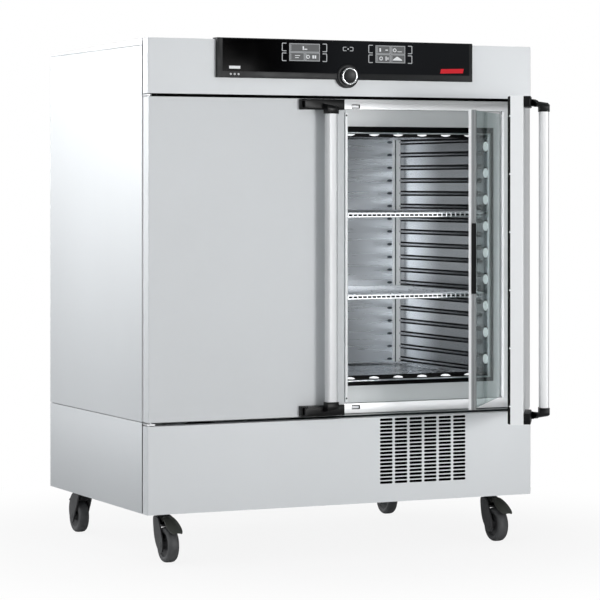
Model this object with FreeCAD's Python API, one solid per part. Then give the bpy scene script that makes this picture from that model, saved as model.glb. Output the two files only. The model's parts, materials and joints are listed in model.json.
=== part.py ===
"""Double-door cooled laboratory incubator on castors, modelled at real size in millimetres.

Frame: +X to the cabinet's right as seen from the front, +Y to the rear, +Z up.
The origin is on the floor, at the middle of the cabinet's width and depth.
The right outer door and its inner glass door stand open; the left pair is closed.
"""
import FreeCAD, Part
import os
from math import cos, radians, sin

V = FreeCAD.Vector

# Cabinet envelope
WIDTH = 1224.0
DEPTH = 800.0
HALF_W = WIDTH / 2
FRONT_Y = -DEPTH / 2
REAR_Y = DEPTH / 2
BASE_Z0 = 142.0
BASE_Z1 = 396.0
CASING_Z0 = 398.0
LID_Z = 1451.0
TOP_Z = 1470.0
SHEET = 1.5

# Front panels: blocks that stand in front of the body behind a shadow gap
PANEL_T = 36.0
SHADOW_GAP = 8.0
PANEL_BACK_Y = FRONT_Y + PANEL_T
BODY_Y = PANEL_BACK_Y + SHADOW_GAP
BASE_PANEL_Z1 = 388.0
HEADER_Z0 = 1315.0
DOOR_Z0 = 399.0
DOOR_Z1 = 1306.0
DOOR_MID_Z = (DOOR_Z0 + DOOR_Z1) / 2
CORNER_R = 3.0

# Outer doors
DOOR_HINGE_X = 597.0
DOOR_HINGE_Y = -380.0
DOOR_SIDE_X = 610.0
RIGHT_DOOR_FREE_X = 2.0
LEFT_DOOR_FREE_X = -3.0
HINGE_PIN_R = 5.0
DOOR_OPEN = 58.3

# Inner glass doors
GLASS_HINGE_X = 538.0
GLASS_HINGE_Y = BODY_Y + 10.0
GLASS_Z0 = 431.0
GLASS_Z1 = 1270.0
GLASS_T = 8.0
RIGHT_GLASS_FREE_X = 36.0
LEFT_GLASS_FREE_X = 30.0
GLASS_PIN_R = 2.5
GLASS_OPEN = 51.0
GRIP_DEPTH = 12.0
GRIP_FLANGE = 14.0
GRIP_PROUD = 1.5
GRIP_Z = (756.0, 953.0)

# Handle levers, measured from the door's outer face and free edge
HANDLE_OPEN = 10.0
BRACKET_X0 = 9.0
BRACKET_X1 = 145.0
BRACKET_H = 30.0
BRACKET_T = 19.0
LEVER_PIVOT_X = 132.0
LEVER_PIVOT_OUT = 12.0
LEVER_PIN_R = 3.5
BAR_X0 = 47.0
BAR_X1 = 81.0
BAR_IN = 30.0
BAR_OUT = 56.0
BAR_R = 8.0
BAR_Z_INSET = 42.0

# Front frame and chamber
OPENING_X = 546.0
OPENING_Z0 = 427.0
OPENING_Z1 = 1279.0
REBATE_Y = BODY_Y + 20.0
FUNNEL_X = 528.0
FUNNEL_Z0 = 475.0
FUNNEL_Z1 = 1230.0
FUNNEL_Y = -315.0
CHAMBER_X = 520.0
CHAMBER_Y0 = -304.0
CHAMBER_Y1 = 296.0
CHAMBER_Z0 = 490.0
CHAMBER_Z1 = 1210.0
RIB_COUNT = 18
RIB_Z0 = 507.0
RIB_PITCH = 40.5
RIB_H = 9.0
RIB_OUT = 5.0
BAFFLE_Y = 271.0
BOSS_PITCH = 79.5
WALL_BOSS_Y = CHAMBER_Y0 + 20.0
FLOOR_BOSS_Y = CHAMBER_Y0 + 39.0
BOSS_R = 15.5
BOSS_H = 5.0

# Shelves
SHELF_Z = (736.0, 976.0)
SHELF_X = 516.0
SHELF_Y0 = -290.0
SHELF_Y1 = 262.0
WIRE_R = 1.5
WIRE_PITCH = 15.5
SHELF_FRAME_R = 3.0

# Control panel
PANEL_X = 407.0
PANEL_Z0 = 1362.0
PANEL_Z1 = 1474.5
PANEL_FRONT_Y = FRONT_Y - 13.0
DISPLAY_X = 137.0
DISPLAY_W = 97.0
DISPLAY_Z = (1412.0, 1463.0)
KNOB_Z = 1372.0
KNOB_R = 25.0
KNOB_CAP_R = 19.0
KNOB_STEM_R = 8.0
COLLAR_R = 34.0
COLLAR_FRONT_Y = FRONT_Y - 17.0

# Mains switch
ROCKER_PIVOT = (394.0, 305.0)
ROCKER_TILT = 5.0

# Castors
CASTOR_X = 527.0
CASTOR_STEM_Y = {"front": -305.0, "rear": 340.0}
CASTOR_TRAIL = 37.0
WHEEL_R = 50.0
WHEEL_W = 32.0
AXLE_R = 6.0
CHEEK_X0 = 18.0
HEAD_R = 19.5
CHEEK_X1 = 23.0
KINGPIN_R = 7.0
PEDAL_PIVOT = (34.0, 121.0)
PEDAL_HALF_W = 19.0
PEDAL_PIN_R = 3.0
FIT = 0.05


def box(x0, x1, y0, y1, z0, z1):
    """Axis-aligned box between two corners."""
    return Part.makeBox(x1 - x0, y1 - y0, z1 - z0, V(x0, y0, z0))


def rod(r, start, end):
    """Round bar from one point to another."""
    run = V(*end) - V(*start)
    return Part.makeCylinder(r, run.Length, V(*start), run)


def fuse(shapes):
    """One solid from several that touch or overlap."""
    first, rest = shapes[0], shapes[1:]
    return first.multiFuse(rest).removeSplitter() if rest else first


def cut(shape, tools):
    """Remove every tool from a shape."""
    return shape.cut(tools[0].multiFuse(tools[1:]) if len(tools) > 1 else tools[0])


def prism_x(points, x0, x1):
    """Extrude an outline of (y, z) points along X."""
    wire = Part.makePolygon([V(x0, y, z) for y, z in points + points[:1]])
    return Part.Face(wire).extrude(V(x1 - x0, 0, 0))


def prism_y(points, y0, y1):
    """Extrude an outline of (x, z) points along Y."""
    wire = Part.makePolygon([V(x, y0, z) for x, z in points + points[:1]])
    return Part.Face(wire).extrude(V(0, y1 - y0, 0))


def round_edges(shape, radius, direction, keep):
    """Fillet the straight edges along a direction that lie where keep(point) is true."""
    chosen = []
    for edge in shape.Edges:
        ends = [v.Point for v in edge.Vertexes]
        if len(ends) != 2:
            continue
        along = (ends[1] - ends[0]).normalize()
        if abs(along.dot(direction)) > 0.999 and keep((ends[0] + ends[1]) * 0.5):
            chosen.append(edge)
    return shape.makeFillet(radius, chosen)


def block(x0, x1, y0, y1, z0, z1, radius):
    """Box whose vertical edges are rounded."""
    return round_edges(box(x0, x1, y0, y1, z0, z1), radius, V(0, 0, 1), lambda p: True)


def pan(x0, x1, z0, z1):
    """Front panel: a folded pan with rounded front edges, open at its back."""
    outer = box(x0, x1, FRONT_Y, PANEL_BACK_Y, z0, z1)
    outer = round_edges(outer, CORNER_R, V(0, 0, 1), lambda p: p.y < FRONT_Y + 1)
    inner = box(x0 + SHEET, x1 - SHEET, FRONT_Y + SHEET, PANEL_BACK_Y + 1, z0 + SHEET, z1 - SHEET)
    return outer.cut(inner)


def rect_wire(y, half_x, z0, z1):
    """Rectangle standing across the cabinet at one depth."""
    corners = [(-half_x, z0), (half_x, z0), (half_x, z1), (-half_x, z1), (-half_x, z0)]
    return Part.makePolygon([V(x, y, z) for x, z in corners])


# Cabinet casing

def base_casing():
    """Bottom tray and side walls of the machine base, with the castor bolt pads."""
    outer = box(-HALF_W, HALF_W, BODY_Y, REAR_Y - 2, BASE_Z0, BASE_Z1)
    inner = box(-HALF_W + SHEET, HALF_W - SHEET, BODY_Y - 1, REAR_Y, BASE_Z0 + 3, BASE_Z1 - 3)
    return outer.cut(inner)


def base_front_panel():
    """Base front with the rounded air slots of the condenser grille."""
    slot_w, slot_h, pitch_x, pitch_z = 41.5, 7.4, 48.0, 10.7
    first_x, first_z, columns, rows = 110.0, 195.0, 6, 18
    slots = []
    for column in range(columns):
        for row in range(rows):
            x, z = first_x + column * pitch_x, first_z + row * pitch_z
            slots.append(box(x + slot_h / 2, x + slot_w - slot_h / 2, FRONT_Y - 1, FRONT_Y + 3,
                             z, z + slot_h))
            for end in (x + slot_h / 2, x + slot_w - slot_h / 2):
                middle = z + slot_h / 2
                slots.append(rod(slot_h / 2, (end, FRONT_Y - 1, middle), (end, FRONT_Y + 3, middle)))
    return pan(-HALF_W, HALF_W, BASE_Z0, BASE_PANEL_Z1).cut(Part.makeCompound(slots))


def both_sides(shape):
    """A right-hand piece together with its mirror image on the left."""
    return Part.makeCompound([shape, shape.mirror(V(0, 0, 0), V(1, 0, 0))])


def side_panels():
    """Flat side walls of the upper casing with a return flange at the rear."""
    wall = box(HALF_W - SHEET, HALF_W, BODY_Y, REAR_Y - 2, CASING_Z0, LID_Z - 1)
    flange = box(HALF_W - 20, HALF_W - SHEET, REAR_Y - 4, REAR_Y - 2, CASING_Z0, LID_Z - 1)
    return both_sides(fuse([wall, flange]))


def rear_panels():
    """Rear covers: the base's with louvres and inlet cut-out, the casing's with motor vents."""
    y0, y1 = REAR_Y - 2, REAR_Y
    lower = box(-HALF_W, HALF_W, y0, y1, BASE_Z0, BASE_Z1)
    louvres = [box(-200, 200, y0 - 1, y1 + 1, z, z + 6) for z in range(200, 350, 15)]
    inlet = box(-480, -390, y0 - 1, y1 + 1, 290, 320)
    upper = box(-HALF_W, HALF_W, y0, y1, CASING_Z0, LID_Z - 1)
    vents = [box(-60, 60, y0 - 1, y1 + 1, z, z + 5) for z in range(800, 920, 12)]
    return Part.makeCompound([cut(lower, louvres + [inlet]), cut(upper, vents)])


def top_cover():
    """Lid: a wedge that falls towards the rear."""
    rear_top = LID_Z + 4
    outline = [(BODY_Y, LID_Z), (REAR_Y, LID_Z), (REAR_Y, rear_top), (BODY_Y, TOP_Z)]
    lid = prism_x(outline, -HALF_W, HALF_W)
    hollow = [(BODY_Y + 3, LID_Z - 1), (REAR_Y - 60, LID_Z - 1), (BODY_Y + 3, TOP_Z - 3)]
    return lid.cut(prism_x(hollow, -HALF_W + 3, HALF_W - 3))


def header_panel():
    """Front panel above the doors, closed at its back where the electronics sit."""
    back = box(-HALF_W + SHEET, HALF_W - SHEET, PANEL_BACK_Y - SHEET, PANEL_BACK_Y,
               HEADER_Z0 + SHEET, TOP_Z - SHEET)
    return fuse([pan(-HALF_W, HALF_W, HEADER_Z0, TOP_Z), back])


def body_seals():
    """Black foam in the shadow gap, and the thermal break between frame and chamber."""
    inset = 3.0
    x = HALF_W - inset
    return Part.makeCompound([
        box(-x, x, PANEL_BACK_Y, BODY_Y, HEADER_Z0 + inset, TOP_Z - inset),
        box(-x, x, PANEL_BACK_Y, BODY_Y, BASE_Z0 + inset, BASE_PANEL_Z1 - inset),
        thermal_break()])


def front_frame():
    """Steel frame round the chamber mouth: flange, rebate for the glass doors, and funnel."""
    t = 2.0
    flange = box(-DOOR_SIDE_X, DOOR_SIDE_X, BODY_Y, BODY_Y + t, CASING_Z0 + 1, HEADER_Z0 - 2)
    rebate = box(-OPENING_X - t, OPENING_X + t, BODY_Y, REBATE_Y, OPENING_Z0 - t, OPENING_Z1 + t)
    mouth = box(-OPENING_X, OPENING_X, BODY_Y - 1, REBATE_Y + 1, OPENING_Z0, OPENING_Z1)
    outer = Part.makeLoft([rect_wire(REBATE_Y, OPENING_X + t, OPENING_Z0 - t, OPENING_Z1 + t),
                           rect_wire(FUNNEL_Y, FUNNEL_X + t, FUNNEL_Z0 - t, FUNNEL_Z1 + t)], True)
    inner = Part.makeLoft([rect_wire(REBATE_Y, OPENING_X, OPENING_Z0, OPENING_Z1),
                           rect_wire(FUNNEL_Y, FUNNEL_X, FUNNEL_Z0, FUNNEL_Z1)], True)
    return fuse([fuse([flange, rebate]).cut(mouth), outer.cut(inner)])


def thermal_break():
    """Band between the front frame and the chamber."""
    outer = box(-FUNNEL_X - 2, FUNNEL_X + 2, FUNNEL_Y, CHAMBER_Y0 - 0.5,
                FUNNEL_Z0 - 2, FUNNEL_Z1 + 2)
    inner = box(-CHAMBER_X - 3, CHAMBER_X + 3, FUNNEL_Y - 1, CHAMBER_Y0 + 1,
                CHAMBER_Z0 - 4, CHAMBER_Z1 + 4)
    return outer.cut(inner)


def pressed_boss(x, y, z, inward):
    """Low pressed boss on a chamber wall, standing along the inward direction."""
    start = V(x, y, z) - V(*inward) * 0.5
    return Part.makeCone(BOSS_R, BOSS_R - 5, BOSS_H + 0.5, start, V(*inward))


def shelf_runners():
    """Welded runners between two wall ribs that carry the shelves."""
    runners = []
    for z in SHELF_Z:
        for side in (-1, 1):
            x0, x1 = sorted((side * (SHELF_X - 8), side * (CHAMBER_X + SHEET / 2)))
            runners.append(box(x0, x1, SHELF_Y0 + 50, SHELF_Y1, z - SHELF_FRAME_R - 5,
                               z - SHELF_FRAME_R - 0.3))
    return runners


def chamber_liner():
    """Deep-drawn steel chamber with shelf ribs on its sides and a ring of pressed bosses."""
    outer = box(-CHAMBER_X - SHEET, CHAMBER_X + SHEET, CHAMBER_Y0, CHAMBER_Y1 + SHEET,
                CHAMBER_Z0 - SHEET, CHAMBER_Z1 + SHEET)
    inner = box(-CHAMBER_X, CHAMBER_X, CHAMBER_Y0 - 1, CHAMBER_Y1, CHAMBER_Z0, CHAMBER_Z1)
    shell = outer.cut(inner)
    extras = shelf_runners()
    rib_y0, rib_y1 = CHAMBER_Y0 + 50, BAFFLE_Y - 2
    for index in range(RIB_COUNT):
        z = RIB_Z0 + index * RIB_PITCH
        for side in (-1, 1):
            wall_x = side * (CHAMBER_X + SHEET / 2)
            tip_x = side * (CHAMBER_X - RIB_OUT)
            extras.append(box(min(wall_x, tip_x), max(wall_x, tip_x),
                              rib_y0, rib_y1, z - RIB_H / 2, z + RIB_H / 2))
            for y in (rib_y0, rib_y1):
                extras.append(rod(RIB_H / 2, (wall_x, y, z), (tip_x, y, z)))
    for index in range(-6, 7):
        x = index * BOSS_PITCH
        extras.append(pressed_boss(x, FLOOR_BOSS_Y, CHAMBER_Z0, (0, 0, 1)))
        extras.append(pressed_boss(x, FLOOR_BOSS_Y, CHAMBER_Z1, (0, 0, -1)))
    for index in range(9):
        z = 1175 - index * BOSS_PITCH
        extras.append(pressed_boss(CHAMBER_X, WALL_BOSS_Y, z, (-1, 0, 0)))
        extras.append(pressed_boss(-CHAMBER_X, WALL_BOSS_Y, z, (1, 0, 0)))
    shaft_hole = rod(10, (0, CHAMBER_Y1 - 1, 850), (0, CHAMBER_Y1 + 3, 850))
    return fuse([shell] + extras).cut(shaft_hole)


def insulation():
    """Mineral-wool block between the chamber and the casing."""
    gap = 0.5
    outer = box(-HALF_W + 22, HALF_W - 22, BODY_Y + 3, REAR_Y - 5, CASING_Z0 + 3, HEADER_Z0 - 3)
    chamber = box(-CHAMBER_X - SHEET - gap, CHAMBER_X + SHEET + gap, BODY_Y, CHAMBER_Y1 + SHEET + gap,
                  CHAMBER_Z0 - SHEET - gap, CHAMBER_Z1 + SHEET + gap)
    mouth = box(-OPENING_X - 3, OPENING_X + 3, BODY_Y, CHAMBER_Y0,
                OPENING_Z0 - 3, OPENING_Z1 + 3)
    motor = rod(50, (0, CHAMBER_Y1, 850), (0, REAR_Y, 850))
    return cut(outer, [chamber, mouth, motor])


def air_baffle():
    """Rear baffle that hides the fan and lets air pass at its edges."""
    half, t, z0, z1 = CHAMBER_X - RIB_OUT - 1.5, 1.2, 496, 1204
    sheet = box(-half, half, BAFFLE_Y, BAFFLE_Y + t, z0, z1)
    returns = [box(x, x + t, BAFFLE_Y, BAFFLE_Y + 8, z0, z1) for x in (-half, half - t)]
    stand_offs = [rod(4, (x, BAFFLE_Y + 1, z), (x, CHAMBER_Y1, z))
                  for x in (-480, 480) for z in (520, 1180)]
    return fuse([sheet] + returns + stand_offs)


def frame_fittings():
    """C-shaped catches of the glass doors, and the hinge pins that carry them."""
    catches = []
    for z in (410.5, 1281):
        plate = box(41, 65, BODY_Y - 3, BODY_Y, z, z + 12)
        catches.append(plate.cut(box(40, 58, BODY_Y - 4, BODY_Y + 1, z + 3, z + 9)))
    pins = []
    for x in (-GLASS_HINGE_X, GLASS_HINGE_X):
        for z0, z1 in ((OPENING_Z0, GLASS_Z0 + 16), (GLASS_Z1 - 16, OPENING_Z1)):
            pins.append(rod(GLASS_PIN_R, (x, GLASS_HINGE_Y, z0), (x, GLASS_HINGE_Y, z1)))
    return Part.makeCompound(catches + pins)


def door_hinge_brackets():
    """Upper and lower hinge plates of both outer doors, each with its fixed pin."""
    solids = []
    levels = ((HEADER_Z0 - 6, HEADER_Z0 - 2, DOOR_Z1 - 26, DOOR_Z1 + 4),
              (BASE_PANEL_Z1 + 2, BASE_PANEL_Z1 + 6, DOOR_Z0 - 6, DOOR_Z0 + 26))
    for plate_z0, plate_z1, pin_z0, pin_z1 in levels:
        plate = box(DOOR_HINGE_X - 12, DOOR_HINGE_X + 12, DOOR_HINGE_Y - 10, BODY_Y,
                    plate_z0, plate_z1)
        pin = rod(HINGE_PIN_R, (DOOR_HINGE_X, DOOR_HINGE_Y, pin_z0),
                  (DOOR_HINGE_X, DOOR_HINGE_Y, pin_z1))
        solids.append(fuse([plate, pin]))
    return both_sides(Part.makeCompound(solids))


# Doors, built for the right-hand side and mirrored for the left

def place_door(shape, side, angle, pivot_x, pivot_y):
    """Swing a right-hand door part open, or mirror it for the left side."""
    shape = shape.copy()
    shape.rotate(V(pivot_x, pivot_y, 0), V(0, 0, 1), angle)
    return shape if side > 0 else shape.mirror(V(0, 0, 0), V(1, 0, 0))


def hinge_bores(pin_r, x, y, z0, z1, depth):
    """Clearance bores for the two fixed pins of a door."""
    r = pin_r + FIT
    return [rod(r, (x, y, z0 - 1), (x, y, z0 + depth)), rod(r, (x, y, z1 - depth), (x, y, z1 + 1))]


def outer_door(free_x):
    """Outer door: folded shell, foam core, inner plate and gasket, closed."""
    bores = hinge_bores(HINGE_PIN_R, DOOR_HINGE_X, DOOR_HINGE_Y, DOOR_Z0, DOOR_Z1, 28)
    shell = cut(pan(free_x, DOOR_SIDE_X, DOOR_Z0, DOOR_Z1), bores)
    core = box(free_x + SHEET, DOOR_SIDE_X - SHEET, FRONT_Y + SHEET, PANEL_BACK_Y - SHEET,
               DOOR_Z0 + SHEET, DOOR_Z1 - SHEET)
    plate = box(free_x + SHEET, DOOR_SIDE_X - SHEET, PANEL_BACK_Y - SHEET, PANEL_BACK_Y,
                DOOR_Z0 + SHEET, DOOR_Z1 - SHEET)
    width, inset, lip = 9.0, 1.0, SHADOW_GAP - 0.4
    x0, x1 = free_x + inset, DOOR_HINGE_X - 3
    z0, z1 = DOOR_Z0 + inset, DOOR_Z1 - inset
    gasket = box(x0, x1, PANEL_BACK_Y, PANEL_BACK_Y + lip, z0, z1)
    window = box(x0 + width, x1 - width, PANEL_BACK_Y - 1, PANEL_BACK_Y + lip + 1,
                 z0 + width, z1 - width)
    return {"shell": shell, "core": cut(core, bores), "inner_plate": plate,
            "gasket": gasket.cut(window)}


def mirror_z(shape):
    """Copy of a door part at the opposite end of the door's height."""
    return shape.mirror(V(0, 0, DOOR_MID_Z), V(0, 0, 1))


def handle_brackets(free_x):
    """Upper and lower lever bearings with their fixed pivot pins."""
    top = DOOR_Z1 - 1
    ear_h = 4.5
    x0, x1 = free_x + BRACKET_X0, free_x + BRACKET_X1
    pivot_x, pivot_y = free_x + LEVER_PIVOT_X, FRONT_Y - LEVER_PIVOT_OUT
    body = round_edges(box(x0, x1 - 20, FRONT_Y - BRACKET_T, FRONT_Y, top - BRACKET_H, top),
                       3.0, V(0, 0, 1), lambda p: p.y < FRONT_Y - 5 and p.x < x0 + 5)
    ears = [box(x1 - 21, x1, FRONT_Y - 17, FRONT_Y, z, z + ear_h)
            for z in (top - BRACKET_H, top - ear_h)]
    ears.append(box(x1 - 3, x1, FRONT_Y - 17, FRONT_Y, top - BRACKET_H, top))
    pin = rod(LEVER_PIN_R, (pivot_x, pivot_y, top - BRACKET_H + 1), (pivot_x, pivot_y, top - 1))
    bracket = fuse([body] + ears + [pin])
    return Part.makeCompound([bracket, mirror_z(bracket)])


def handle_levers(free_x):
    """Black lever arms that carry the handle bar, locked position."""
    top = DOOR_Z1 - 1
    x_pivot, y_pivot = free_x + LEVER_PIVOT_X, FRONT_Y - LEVER_PIVOT_OUT
    wall = 0.8
    bar_x0, bar_x1 = free_x + BAR_X0 - wall, free_x + BAR_X1 + wall
    face = FRONT_Y - BRACKET_T - 1
    knuckle_z0, knuckle_z1 = top - 25, top - 5
    knuckle = rod(7.0, (x_pivot, y_pivot, knuckle_z0), (x_pivot, y_pivot, knuckle_z1))
    web = box(x_pivot - 7, x_pivot + 7, face - 4, y_pivot, knuckle_z0, knuckle_z1)
    out = FRONT_Y - BAR_OUT - wall
    inner = FRONT_Y - BAR_IN + wall
    slope_x1, slope_z1 = x_pivot + 7, top - 5
    bar_z1, tip_z1, socket_z0, arm_z0 = top - 11, top - 18, top - 42, top - 28
    plate = prism_y([(slope_x1, slope_z1), (bar_x1, bar_z1), (bar_x1, arm_z0), (slope_x1, top - 24)],
                    face - 10, face)
    arm_sections = []
    for y, drop in ((out, 5.5), (face, 0.0)):
        arm_sections.append(Part.makePolygon([V(x, y, z) for x, z in (
            (bar_x1, bar_z1 - drop), (bar_x0, tip_z1 - drop), (bar_x0, arm_z0), (bar_x1, arm_z0),
            (bar_x1, bar_z1 - drop))]))
    arm = Part.makeLoft(arm_sections, True, True)
    socket_block = box(bar_x0, bar_x1, out, inner, socket_z0, arm_z0 + 1)
    bore = rod(LEVER_PIN_R + FIT, (x_pivot, y_pivot, top - 40), (x_pivot, y_pivot, top))
    socket = handle_bar(free_x)
    lever = fuse([knuckle, web, plate, arm, socket_block]).cut(bore).cut(socket)
    return Part.makeCompound([lever, mirror_z(lever)])


def handle_bar(free_x):
    """Vertical grip between the two levers."""
    z1 = DOOR_Z1 - BAR_Z_INSET
    return block(free_x + BAR_X0, free_x + BAR_X1, FRONT_Y - BAR_OUT, FRONT_Y - BAR_IN,
                 2 * DOOR_MID_Z - z1, z1, BAR_R)


def glass_door(free_x, with_grip):
    """Inner glass door: pane, hinge rail and closing-edge profile, closed."""
    front, back = GLASS_HINGE_Y - GLASS_T / 2, GLASS_HINGE_Y + GLASS_T / 2
    edge_w = 9.0
    rail_x = GLASS_HINGE_X - 12
    pane = box(free_x + edge_w, rail_x, front + 1, back - 1, GLASS_Z0, GLASS_Z1)
    barrel = rod(5.5, (GLASS_HINGE_X, GLASS_HINGE_Y, GLASS_Z0), (GLASS_HINGE_X, GLASS_HINGE_Y, GLASS_Z1))
    clamp = box(rail_x, GLASS_HINGE_X, front, back, GLASS_Z0, GLASS_Z1)
    bores = hinge_bores(GLASS_PIN_R, GLASS_HINGE_X, GLASS_HINGE_Y, GLASS_Z0, GLASS_Z1, 17)
    rail = cut(fuse([barrel, clamp]), bores)
    strip_front = front if with_grip else front - 3
    strip = [box(free_x, free_x + edge_w, strip_front, back, GLASS_Z0, GLASS_Z1)]
    if not with_grip:
        return {"pane": pane, "profiles": Part.makeCompound([rail, fuse(strip)])}
    out = front - GRIP_DEPTH
    strip.append(box(free_x, free_x + 3, out, front, GLASS_Z0, GLASS_Z1))
    strip.append(box(free_x, free_x + GRIP_FLANGE, out, out + 2, GLASS_Z0, GLASS_Z1))
    grip = box(free_x - GRIP_PROUD, free_x + GRIP_PROUD, out - GRIP_PROUD, front - 0.5, *GRIP_Z)
    edge = fuse(strip).cut(grip)
    return {"pane": pane, "profiles": Part.makeCompound([rail, edge]), "finger_grip": grip}


# Chamber fittings

def wire_shelf(z):
    """Wire grid: close front-to-back wires on a border frame and cross bars."""
    y0, y1 = SHELF_Y0, SHELF_Y1
    r = SHELF_FRAME_R
    frame = [rod(r, (-SHELF_X + r, y, z), (SHELF_X - r, y, z)) for y in (y0 + r, y1 - r)]
    frame += [rod(r, (x, y0 + r, z), (x, y1 - r, z)) for x in (-SHELF_X + r, SHELF_X - r)]
    frame += [Part.makeSphere(r, V(x, y, z)) for x in (-SHELF_X + r, SHELF_X - r)
              for y in (y0 + r, y1 - r)]
    bars = [rod(2.0, (-SHELF_X + r, y, z), (SHELF_X - r, y, z)) for y in (-120.0, 60.0)]
    count = int((SHELF_X - 10) / WIRE_PITCH)
    wires = [box(i * WIRE_PITCH - WIRE_R, i * WIRE_PITCH + WIRE_R, y0 + r, y1 - r, z, z + 3)
             for i in range(-count, count + 1)]
    return fuse(frame + bars + wires)


def circulation_impeller():
    """Radial wheel behind the baffle, on the motor's shaft."""
    hub = rod(16, (0, 276, 850), (0, 292, 850))
    disc = rod(85, (0, 289, 850), (0, 291, 850))
    blades = []
    for index in range(12):
        blade = box(18, 82, 277, 290, 849, 851)
        blade.rotate(V(0, 0, 850), V(0, 1, 0), index * 30)
        blades.append(blade)
    bore = rod(4 + FIT, (0, 270, 850), (0, 300, 850))
    return fuse([hub, disc] + blades).cut(bore)


def circulation_motor():
    """Fan motor in the insulation, with the shaft that reaches the impeller."""
    can = rod(45, (0, 302, 850), (0, 380, 850))
    shaft = rod(4, (0, 278, 850), (0, 303, 850))
    return fuse([can, shaft])


# Refrigeration and electrics in the base and header

def compressor():
    """Hermetic compressor on its feet."""
    pot = rod(85, (-250, 80, 165), (-250, 80, 315))
    dome = Part.makeSphere(110, V(-250, 80, 245)).common(rod(85, (-250, 80, 300), (-250, 80, 380)))
    feet = [rod(12, (-250 + dx, 80 + dy, BASE_Z0 + 3), (-250 + dx, 80 + dy, 168))
            for dx in (-80, 80) for dy in (-80, 80)]
    plate = box(-345, -155, -15, 175, 160, 168)
    return fuse([pot, dome, plate] + feet)


def condenser():
    """Finned condenser behind the front grille."""
    tubes = [rod(5, (110, -318, z), (390, -318, z)) for z in range(205, 380, 30)]
    fins = [box(x, x + 2, -340, -296, 190, 385) for x in range(118, 385, 14)]
    return fuse(tubes + fins)


def condenser_motor():
    """Motor of the condenser's fan on its stand."""
    can = rod(30, (250, -245, 285), (250, -190, 285))
    shaft = rod(4, (250, -285, 285), (250, -244, 285))
    stand = box(235, 265, -225, -205, BASE_Z0 + 3, 260)
    return fuse([can, shaft, stand])


def condenser_fan():
    """Axial fan behind the condenser."""
    hub = rod(20, (250, -284, 285), (250, -254, 285))
    blades = []
    for index in range(5):
        blade = box(15, 85, -275, -263, 283, 286)
        blade.rotate(V(50, -269, 285), V(1, 0, 0), 30)
        blade.translate(V(250, 0, 0))
        blade.rotate(V(250, 0, 285), V(0, 1, 0), index * 72)
        blades.append(blade)
    return fuse([hub] + blades).cut(rod(4 + FIT, (250, -290, 285), (250, -250, 285)))


def control_board():
    """Circuit board on pillars behind the control panel."""
    board = box(-240, 240, -340, -250, 1352, 1354)
    pillars = [rod(4, (x, y, HEADER_Z0 - 2), (x, y, 1353)) for x in (-230, 230) for y in (-330, -260)]
    return fuse([board] + pillars)


def mains_inlet():
    """Recessed appliance inlet and switch frame in the rear of the base."""
    plate = box(-484, -386, REAR_Y, REAR_Y + 2, 286, 324)
    boxed = box(-479, -391, REAR_Y - 30, REAR_Y, 291, 319)
    socket = box(-475, -444, REAR_Y - 22, REAR_Y + 3, 296, 314)
    switch_hole = box(-425, -395, REAR_Y - 18, REAR_Y + 3, 295, 315)
    pins = [box(x, x + 2, REAR_Y - 24, REAR_Y - 4, 302, 308) for x in (-467, -460.5, -454)]
    return fuse([fuse([plate, boxed]).cut(socket).cut(switch_hole)] + pins)


def mains_rocker():
    """Rocker of the mains switch on its level axis, tilted to the "on" stop."""
    outline = [(-6.0, -9.0), (8.2, -8.6), (6.6, 0.0), (8.2, 8.6), (-6.0, 9.0)]
    y, z = ROCKER_PIVOT
    rocker = prism_x([(y + dy, z + dz) for dy, dz in outline], -424.5, -395.5)
    rocker.rotate(V(0, y, z), V(1, 0, 0), -ROCKER_TILT)
    return fuse([rocker, rod(6.5, (-424.5, y, z), (-395.5, y, z))])


def panel_screws():
    """Screws of the rear panels."""
    heads = [Part.makeCone(6.5, 4.5, 3.0, V(x, REAR_Y, z), V(0, 1, 0))
             for x in (-590, -300, 300, 590) for z in (160, 378, 420, 925, 1430)]
    return Part.makeCompound(heads)


# Control panel

def knob_bore():
    """Blind bore that the knob's stem slides in."""
    return rod(KNOB_STEM_R + 2, (0, COLLAR_FRONT_Y - 1, KNOB_Z), (0, FRONT_Y - 2, KNOB_Z))


def knob_collar():
    """Round collar that the rotary knob sits in."""
    collar = rod(COLLAR_R, (0, COLLAR_FRONT_Y, KNOB_Z), (0, FRONT_Y, KNOB_Z))
    rim = [e for e in collar.Edges if len(e.Vertexes) == 1 and e.CenterOfMass.y < COLLAR_FRONT_Y + 1]
    return collar.makeFillet(3.0, rim)


def control_housing():
    """Dark plastic front of the control panel, wrapped over the header's top edge."""
    slab = box(-PANEL_X, PANEL_X, PANEL_FRONT_Y, FRONT_Y, PANEL_Z0, PANEL_Z1)
    hook = box(-PANEL_X, PANEL_X, FRONT_Y, FRONT_Y + 20, TOP_Z, PANEL_Z1)
    slab = round_edges(fuse([slab, hook]), 3.0, V(1, 0, 0),
                       lambda p: p.y < PANEL_FRONT_Y + 1 and p.z > PANEL_Z1 - 1)
    recess = box(-PANEL_X + 16, PANEL_X - 10, PANEL_FRONT_Y - 1, PANEL_FRONT_Y + 2,
                 PANEL_Z0 + 18, PANEL_Z1 - 3)
    return fuse([slab.cut(recess), knob_collar()]).cut(knob_bore())


def control_glass():
    """Glossy black front glass with windows for the displays."""
    plate = box(-PANEL_X + 16, PANEL_X - 10, PANEL_FRONT_Y - 0.3, PANEL_FRONT_Y + 2,
                PANEL_Z0 + 18, PANEL_Z1 - 3)
    windows = [display(x, 0.0) for x in (-DISPLAY_X, DISPLAY_X)]
    seat = rod(COLLAR_R + 0.3, (0, PANEL_FRONT_Y - 1, KNOB_Z), (0, FRONT_Y + 1, KNOB_Z))
    return cut(plate, windows + [seat])


def display(x, proud):
    """Flat display window centred on x."""
    return box(x - DISPLAY_W / 2, x + DISPLAY_W / 2, PANEL_FRONT_Y - 0.5 - proud,
               PANEL_FRONT_Y + 1, *DISPLAY_Z)


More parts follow.
